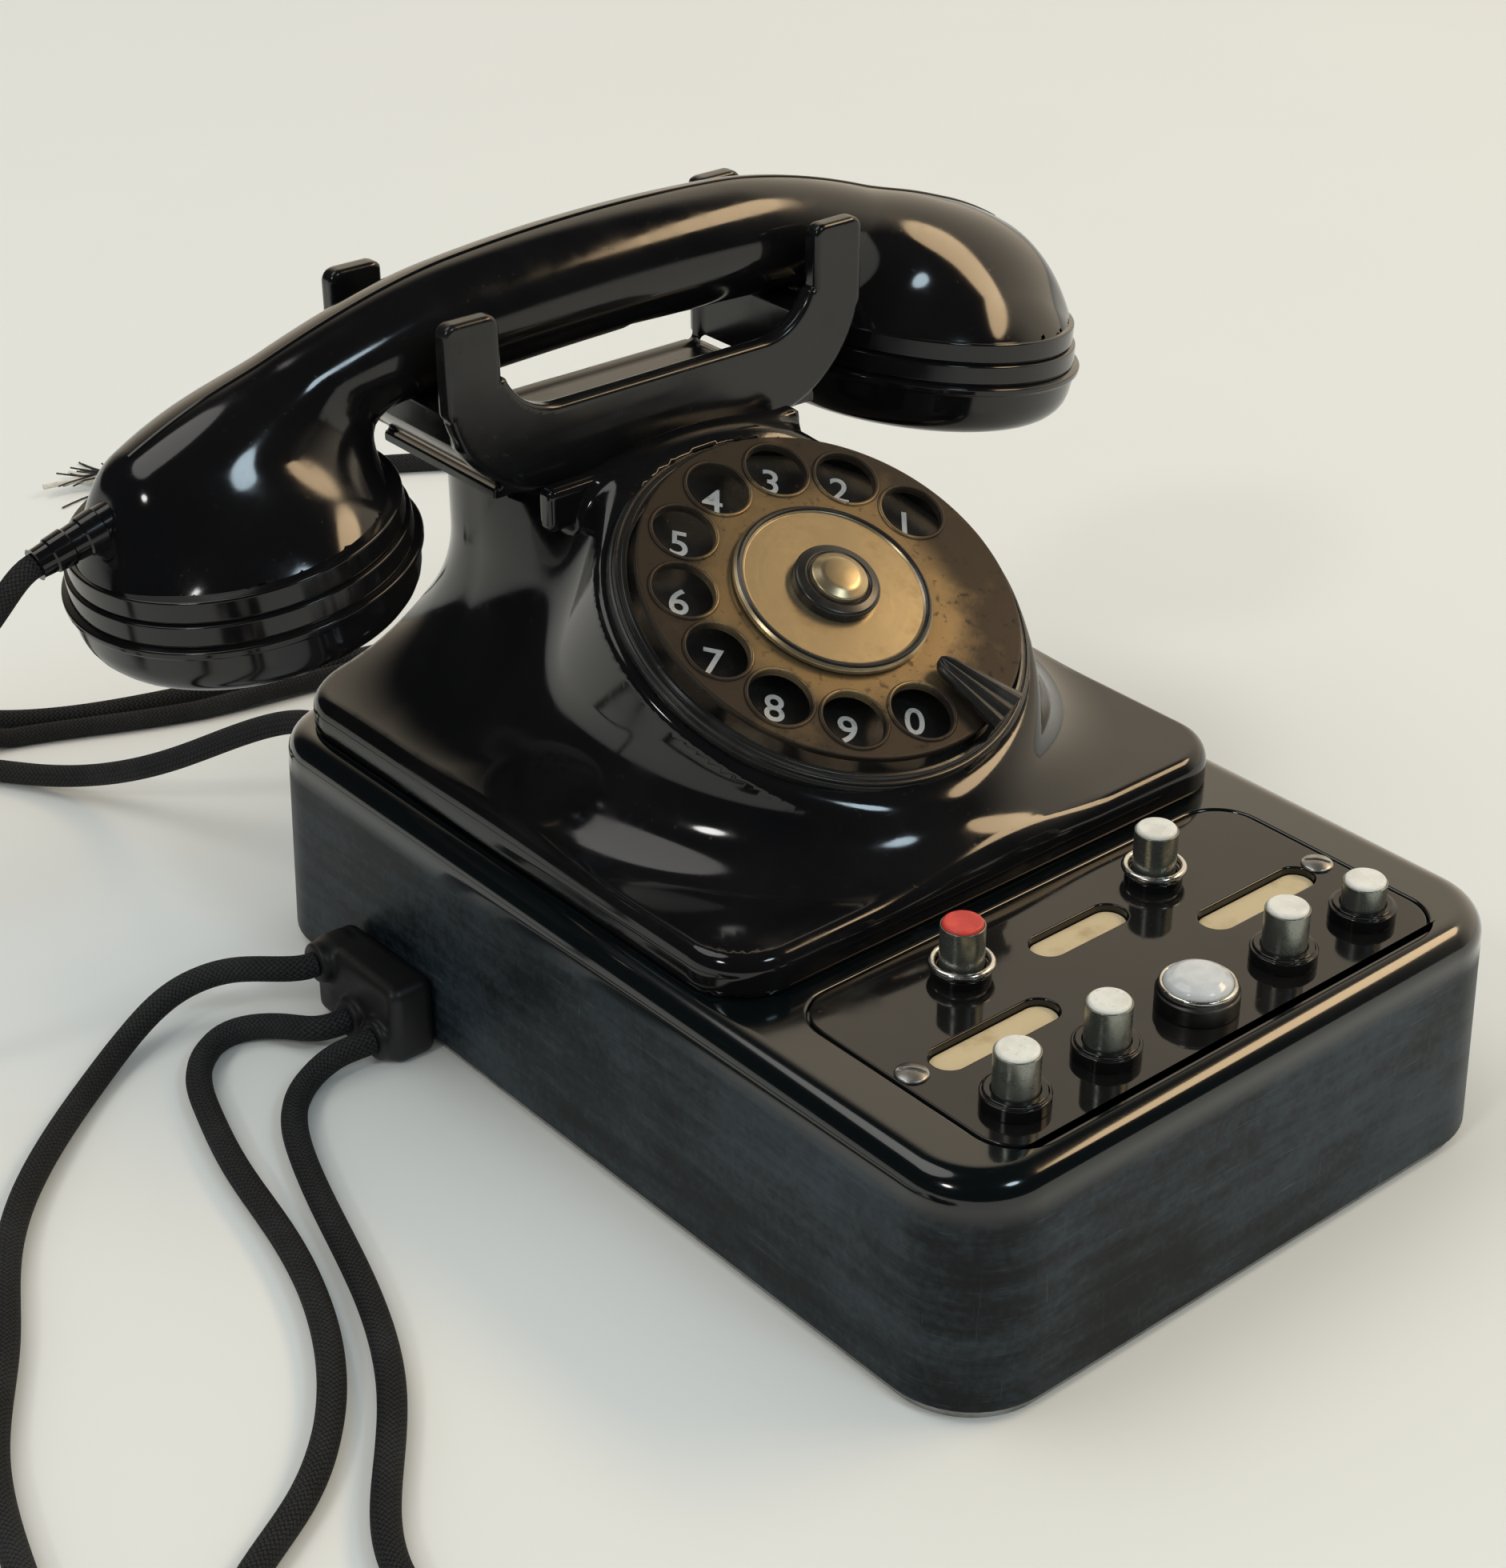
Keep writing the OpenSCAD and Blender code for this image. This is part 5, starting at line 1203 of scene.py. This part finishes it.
def on_dial(shape):
    """A shape from the dial's frame to the telephone's."""
    return tilted(shape, DIAL_CENTRE, (1, 0, 0), (0, -np.sin(DIAL_LEAN), np.cos(DIAL_LEAN)))


def hole_angles():
    """The bearings of the ten finger holes, in the order of the figures 1 to 0."""
    return np.radians(HOLE_FIRST + HOLE_STEP * np.arange(10))


def wheel_shape():
    """Finger wheel: a flat plate with a rounded rim and ten holes, and a raised lip round each hole."""
    middles = on_circle(HOLE_PITCH, hole_angles())
    holes = [circle(HOLE_RADIUS, m, 64) for m in middles] + [circle(7, count=64)]
    sheet = plate(circle(WHEEL_RADIUS, count=192), holes, -0.7, 0.55, 0.4)
    lip = bead(HOLE_RADIUS + 0.5, 0.5, 0.45, 64, 12)
    return joined(sheet, *[moved(lip, (*m, 0)) for m in middles])


def dial_pieces():
    """Wheel, card disc with its clamp ring, button, bezel with fine grooves, number ring, figures and finger stop."""
    piece("wheel", on_dial(wheel_shape()), WHEEL, "wheel_bronze", "dial", "finger_wheel", sharp=50)
    disc = turned_ring([(2, 1.02), (CARD_RADIUS, 1.02, 0.1), (CARD_RADIUS, 1.8, 0.3), (18.9, 2.3, 0.2),
                        (18.3, 2.55, 0.25), (17.7, 2.3, 0.2), (17.4, 2.0, 0.15), (8.8, 2.0), (2, 2.0)], 144, 4)
    line = turned_ring([(17.72, 2.3), (18.1, 2.56, 0.1), (18.5, 2.6, 0.1), (18.9, 2.3)], 144, 3)
    ring = turned_ring([(2, 2.02), (KNOB_RADIUS, 2.02, 0.1), (KNOB_RADIUS, 4.2, 0.9), (6.4, 4.6, 0.4),
                        (5.9, 4.3, 0.2), (2, 4.3)], 96, 5)
    dome = rounded_line([(0, 4.32), (5.6, 4.32, 0.1), (5.5, 5.2, 0.5), (3.6, 6.1, 3), (0, 6.4)], steps=6)
    bezel = turned_ring([(38.1, DIAL_SEAT), (BEZEL_RADIUS, DIAL_SEAT, 0.15), (BEZEL_RADIUS, -4.4, 0.3),
                         (40.75, -4.1, 0.15), (40.6, -3.9, 0.1), (40.5, -3.3, 0.25), (40.0, -3.2, 0.15),
                         (39.85, -3.45, 0.1), (39.6, -3.05, 0.2), (39.2, -2.6, 0.3), (38.5, -2.5, 0.3),
                         (38.1, -2.9, 0.2)], 192, 3)
    face = turned_ring([(12, -6), (37.8, -6), (37.8, -5, 0.3), (36.4, -5.02), (12, -5, 0.2)], 144, 3)
    bronze, black = (BRONZE, "card_bronze"), (DIAL_BLACK, "dial_black")
    for name, shape, finish, body, *nodes in (
            ("card_plate", disc, bronze, "dial", "card_disc"), ("clamp_line", line, black, "dial"),
            ("button_ring", ring, black, "dial", "centre_button"), ("button_dome", turned(dome, 72), bronze, "dial"),
            ("bezel_ring", bezel, black, "phone", "dial_bezel"), ("number_face", face, black, "phone", "number_ring")):
        piece(name, on_dial(shape), *finish, body, *nodes)
    figures()
    finger_stop_piece()


def figures():
    """The figures 1 to 0 as thin white plates, all turned one way, each a little off its hole's middle."""
    meshes = []
    for number, (x, y) in zip("1234567890", on_circle(HOLE_PITCH, hole_angles()) + FIGURE_SHIFT):
        curve = bpy.data.curves.new("figure", "FONT")
        curve.body = number
        curve.size, curve.offset, curve.extrude = FIGURE_SIZE, 0.08, 0.04
        curve.align_x = curve.align_y = "CENTER"
        text = link(bpy.data.objects.new("figure", curve))
        mesh = bpy.data.meshes.new_from_object(text.evaluated_get(bpy.context.evaluated_depsgraph_get()))
        bpy.data.objects.remove(text)
        mesh.transform(Matrix.Translation((x, y, FIGURE_HEIGHT))
                       @ Matrix.Rotation(np.radians(FIGURE_UP) - np.pi / 2, 4, "Z"))
        mesh.transform(Matrix.Translation(Vector(DIAL_CENTRE)) @ Matrix.Rotation(DIAL_LEAN, 4, "X"))
        mesh.transform(Matrix.Scale(MM, 4))
        meshes.append(mesh)
    together = link(bpy.data.objects.new("dial_figures", meshes[0]))
    others = [link(bpy.data.objects.new("figure", mesh)) for mesh in meshes[1:]]
    with bpy.context.temp_override(active_object=together, selected_editable_objects=[together, *others]):
        bpy.ops.object.join()
    together.data.materials.clear()
    together.data.materials.append(INK)
    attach(together, "phone")


def finger_stop_piece():
    """Finger stop: a bar that widens outward under three ridges, and a foot whose walls are arcs about the shaft."""
    out = np.linspace(0, 1, 26)[:, None]
    across = np.linspace(-1, 1, 31)
    reach = STOP_REACH[0] + (STOP_REACH[1] - STOP_REACH[0]) * out + 0 * across
    wide = (2.3 + 3.3 * out ** 1.3) * np.sqrt(np.clip(1 - (1 - np.clip(out * 6, 0, 1)) ** 2, 0.02, 1))
    ridges = 3.2 + 0.6 * np.abs(np.cos(1.5 * np.pi * across)) * (1 - across ** 8)
    top = np.stack([reach, wide * across, ridges + 0 * out], axis=-1)
    low = np.stack([reach, wide * across[::-1], np.full(reach.shape, STOP_UNDER)], axis=-1)
    rings = np.concatenate([top, low], axis=1)
    spread = np.radians(6.8) * np.linspace(-1, 1, 13)
    foot = np.concatenate([on_circle(STOP_FOOT, spread), on_circle(STOP_REACH[1], spread[::-1])])
    walls = [at_height(foot, z) for z in (-2.6, 2.6)]
    way = (*on_circle(1, STOP_BEARING), 0)
    placed = []
    for rows in (rings, np.array(walls)):
        first, last = (np.repeat(rows[k].mean(axis=0)[None, None], rows.shape[1], axis=1) for k in (0, -1))
        closed = grid(np.concatenate([first, rows, last]), wrap_columns=True)
        placed.append(tilted(outward(closed), (0, 0, 0), way, (0, 0, 1)))
    piece("stop_hook", on_dial(joined(*placed)), DIAL_BLACK, "dark_metal", "phone", "finger_stop")


# Cradle and handset


def cradle_field(p):
    """Cradle: a front plate, two rear prongs, a saddle across each end and a thin floor between.

    The plates' outline is two belly circles, the block between them and two prongs, less the notch that takes the
    handle. The rear one is cut away between its prongs, and a saddle is the belly circle's foot carried from front to
    rear.
    """
    x, y, z = p.T
    z = z + CRADLE_FALL * x
    side = np.abs(x - CRADLE_X)
    belly = np.hypot(side - PRONG_X + BELLY_RADIUS, z - BELLY_Z) - BELLY_RADIUS
    middle = np.maximum(side - PRONG_X + BELLY_RADIUS, CRADLE_LOW - z)
    foot = np.maximum(np.minimum(belly, middle), z - BELLY_Z)
    prong_half = PRONG_WIDTH / 2
    prong = plan_distance(side - PRONG_X + prong_half, z - PRONG_Z, (prong_half, PRONG_TOP - PRONG_Z), 2.5)
    notch = plan_distance(side, z - PLATE_TOP - NOTCH_HALF, (PRONG_X - PRONG_WIDTH, NOTCH_HALF), NOTCH_RADIUS)
    outline = np.maximum(np.minimum(foot, prong), -notch)
    middle_y = PLATE_GAP + PLATE_THICK / 2
    front = round_and(outline, np.abs(y - CRADLE_Y + middle_y) - PLATE_THICK / 2, 1.1)
    open_back = np.maximum(outline, np.minimum(SADDLE_X[0] - side, z - CRADLE_FLOOR))
    rear = round_and(open_back, np.abs(y - CRADLE_Y - middle_y) - PLATE_THICK / 2, 1.1)
    between = np.abs(y - CRADLE_Y) - middle_y
    span = np.maximum(SADDLE_X[0] - side, side - SADDLE_X[1])
    saddle = round_and(round_and(np.maximum(belly, span), z - SADDLE_TOP, 1.0), between, 0.1)
    floor = np.maximum(np.maximum(side - SADDLE_X[0] - 1, between), np.maximum(CRADLE_LOW - z, z - CRADLE_FLOOR))
    return round_or(round_or(round_or(front, rear, 0.5), saddle, 1.5), floor, 1.5)


def cap_place(p, end):
    """World points in a cap's frame, whose Z axis leans outward by the cap's angle."""
    q = p - end.seat
    cos, sin = np.cos(end.lean), np.sin(end.lean) * end.side
    return q[:, 0] * cos - q[:, 2] * sin, q[:, 1], q[:, 0] * sin + q[:, 2] * cos


def handset_field(p):
    """Handset: a round bowed bar whose ends run down as slimmer ridges over two conical domed bells.

    The bar's back is the bow, rounded into a straight slope at each end. Its section is a circle under that back, and a
    hollow joins it to each bell.
    """
    x, y, z = p[:, 0], p[:, 1] - CRADLE_Y, p[:, 2]
    back = np.hypot(x, z + BOW_RADIUS - HANDLE_TOP) - BOW_RADIUS
    thick = np.full(len(p), float(HANDLE_RADIUS))
    cut = np.full(len(p), FAR_INSIDE)
    bells = []
    for end in (MOUTH, EAR):
        out = end.side * x
        back = round_and(back, (out - SLOPE_X) * np.sin(end.slope) + (z - end.fall) * np.cos(end.slope), end.bend)
        thick += (end.slim - HANDLE_RADIUS) * np.clip(out / 100, 0, 1.1) ** 2
        lx, ly, lz = cap_place(p, end)
        limit = np.maximum(-lz, out - abs(end.seat[0]) - 0.75 * end.bell)
        cut = np.maximum(cut, np.where(out > 0, limit, FAR_INSIDE))
        dome = round_and(np.hypot(lx, ly) - end.bell + end.taper * np.maximum(lz, -1), lz - end.crown, end.edge)
        bells.append((np.maximum(dome, -lz - 1.5), end.hollow))
    form = round_and(np.hypot(y, back + thick) - thick, cut, 4)
    for bell, hollow in bells:
        form = round_or(form, bell, hollow)
    return form


def handset_pieces():
    """Shell, its parting line, the two screwed caps with their sound holes, and the ribbed boot of the cord."""
    moulded_piece("handset_form", handset_field, (-125, 36, 92), (125, 110, 147.5), 1.3, GLOSS, "bakelite", "handset",
                  "handset_shell")
    for end, name, node, ring_count in ((EAR, "ear_piece", "ear_cap", 6), (MOUTH, "mouth_piece", "mouth_cap", 8)):
        cos, sin = np.cos(end.lean), np.sin(end.lean) * end.side
        points, faces = cap_shape(ring_count)
        wide = end.cap / CAP_RADIUS
        shape = tilted((points * np.array([wide, wide, 1]), faces), end.seat, (cos, 0, -sin), (sin, 0, cos))
        piece(name, shape, GLOSS, "bakelite", "handset", node, sharp=30)
    seam_piece()
    ribs = np.linspace(0, 1, 61)
    radius = BOOT_RADII[0] + (BOOT_RADII[1] - BOOT_RADII[0]) * ribs - 0.3 * (np.sin(ribs * 6 * np.pi) < -0.2)
    ahead = BOOT_TIP - BOOT_ROOT
    length = np.linalg.norm(ahead)
    profile = np.concatenate([[(0, 0)], np.stack([radius, ribs * length], axis=-1),
                              [(HANDSET_CORD / 2, length), (0, length)]])
    piece("cord_boot", tilted(turned(profile, 40), BOOT_ROOT, (0, 1, 0), ahead), GLOSS, "rubber", "handset",
          "handset_boot")


def seam_piece():
    """Parting line over the handset's back: a fine bead where the form's field is zero on its middle plane."""
    x = np.linspace(-104, 104, 220)
    low, high = np.full(len(x), 112.0), np.full(len(x), 150.0)
    for _ in range(24):
        middle = (low + high) / 2
        inside = handset_field(np.stack([x, np.full(len(x), CRADLE_Y), middle], axis=-1)) < 0
        low, high = np.where(inside, middle, low), np.where(inside, high, middle)
    path = np.stack([x, np.full(len(x), CRADLE_Y), low - 0.1], axis=-1)
    piece("parting_line", tube(path, 0.8, 8)[0], GLOSS, "bakelite", "handset")


def cap_shape(ring_count):
    """A screwed cap below its seat: stepped rings, a rolled rim, and a face with blind sound holes."""
    side = rounded_line([(CAP_BORE, 0), (NECK_RADIUS, 0, 0.45), (NECK_RADIUS + 0.2, -3.9, 0.3), (31.6, -4.2, 0.08),
                         (32.9, -4.5, 0.35), (33.2, -8.1, 0.3), (32.7, -8.4, 0.08), (CAP_RADIUS, -8.8, 0.4),
                         (CAP_RADIUS - 0.1, -10, 0.4), (33.7, -10.5, 0.3), (32.4, -CAP_HEIGHT, 6.5),
                         (CAP_FACE, -CAP_HEIGHT)], steps=6)
    loops = [circle(SOUND_HOLE, m, 20) for m in ((0, 0), *circle(SOUND_RING, count=ring_count))]
    deep = SOUND_DEEP - CAP_HEIGHT
    wells = [joined(grid(np.array([at_height(c, -CAP_HEIGHT), at_height(c, deep)]), wrap_columns=True),
                    filled([at_height(c, deep)], False)) for c in loops]
    face = [at_height(circle(CAP_FACE, count=120), -CAP_HEIGHT)] + [at_height(c[::-1], -CAP_HEIGHT) for c in loops]
    return joined(flipped(turned(side, 120)), filled(face, False), *wells,
                  filled([at_height(circle(CAP_BORE, count=120), 0)], True))


# Solids that stay, with their finishes


def dress_solids():
    """Gives each CAD node that stays its finish."""
    finishes = {
        STEEL: ("base_plate", "case_screws", "key_bracket", "ringer_frame", "governor", "dial_back_plate",
                "dial_plate"),
        BRASS: ("contact_springs", "gongs", "main_gear", "dial_shaft", "clapper"),
        WINDING: ("ringer_coils", "induction_coil"),
        BOARD: ("terminal_strip",),
        NICKEL: ("condenser", "lamp_holder", "capsules"),
        LENS: ("lamp_bulb",),
        HOUSE: ("cradle_plunger",),
    }
    for finish, names in finishes.items():
        for name in names:
            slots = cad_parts[name].data.materials
            slots.clear()
            slots.append(finish)


# Stage and light


def stage_and_light():
    """Pale floor, a room that shows in the gloss, and four soft round lamps."""
    ends = (-FLOOR_SIDE, FLOOR_SIDE)
    floor = put_mesh("floor", grid(np.array([[(x, y, 0) for x in ends] for y in ends], float)))
    f = Finish("floor")
    floor.data.materials.append(f.set(Base_Color=f.mix(f.noise(9, 3), (0.785, 0.785, 0.73), (0.76, 0.765, 0.71)),
                                      Roughness=0.85, IOR=1.3))
    bpy.context.scene.world = Room("room").material
    for row in LAMPS:
        lamp(*row)


class Room(Finish):
    """World shader: even light for diffuse rays; camera and gloss rays see a warm wall at the right of a dark room."""

    def __init__(self, name):
        self.material = bpy.data.worlds.new(name)
        self.material.use_nodes = True
        self.tree = self.material.node_tree
        self.surface = self.tree.nodes["Background"]
        camera, gloss, glass = (self.node("ShaderNodeLightPath", {}, {}, f"Is {kind} Ray")
                                for kind in ("Camera", "Glossy", "Transmission"))
        way = self.node("ShaderNodeTexCoord", {}, {}, "Generated")
        x, y, z = (self.parts(way, k) for k in range(3))
        wall = (x * WARM_WALL[0] + y * WARM_WALL[1]).ease(0.25, 0.75) * (1 - z.ease(0.62, 0.8))
        colour = self.mix(wall, (0.02, 0.021, 0.022), (1.05, 0.9, 0.69))
        self.set(Color=self.mix(camera.most(gloss).most(glass), (0.55, 0.575, 0.6), colour), Strength=1.0)


def lamp(name, bearing, rise, distance, width, height, roll, watts, colour):
    """A soft round lamp at a bearing, rise and distance from the telephone's middle, which it faces."""
    data = bpy.data.lights.new(name, "AREA")
    data.shape = "ELLIPSE"
    data.size, data.size_y = width, height
    data.energy = watts
    data.color = colour
    turn, tip = np.radians(bearing), np.radians(rise)
    away = Vector((np.cos(tip) * np.cos(turn), np.cos(tip) * np.sin(turn), np.sin(tip)))
    aim(link(bpy.data.objects.new(name, data)), MIDDLE + away * distance, MIDDLE, np.radians(roll))


make_camera()
lay_cords()
box_piece()
panel_pieces()
key_pieces()
lamp_pieces()
gland_pieces()
moulded_piece("housing", housing_field, (-65, -42, 46), (65, 101.5, 113), 1.15, HOUSE, "bakelite", "phone",
              "body_shell")
dial_pieces()
moulded_piece("cradle_fork", cradle_field, (-52, 51.5, 102), (52, 94.5, 141), 0.7, SATIN, "bakelite", "cradle",
              "cradle")
handset_pieces()
dress_solids()
stage_and_light()
bpy.context.scene.view_settings.view_transform = "Standard"
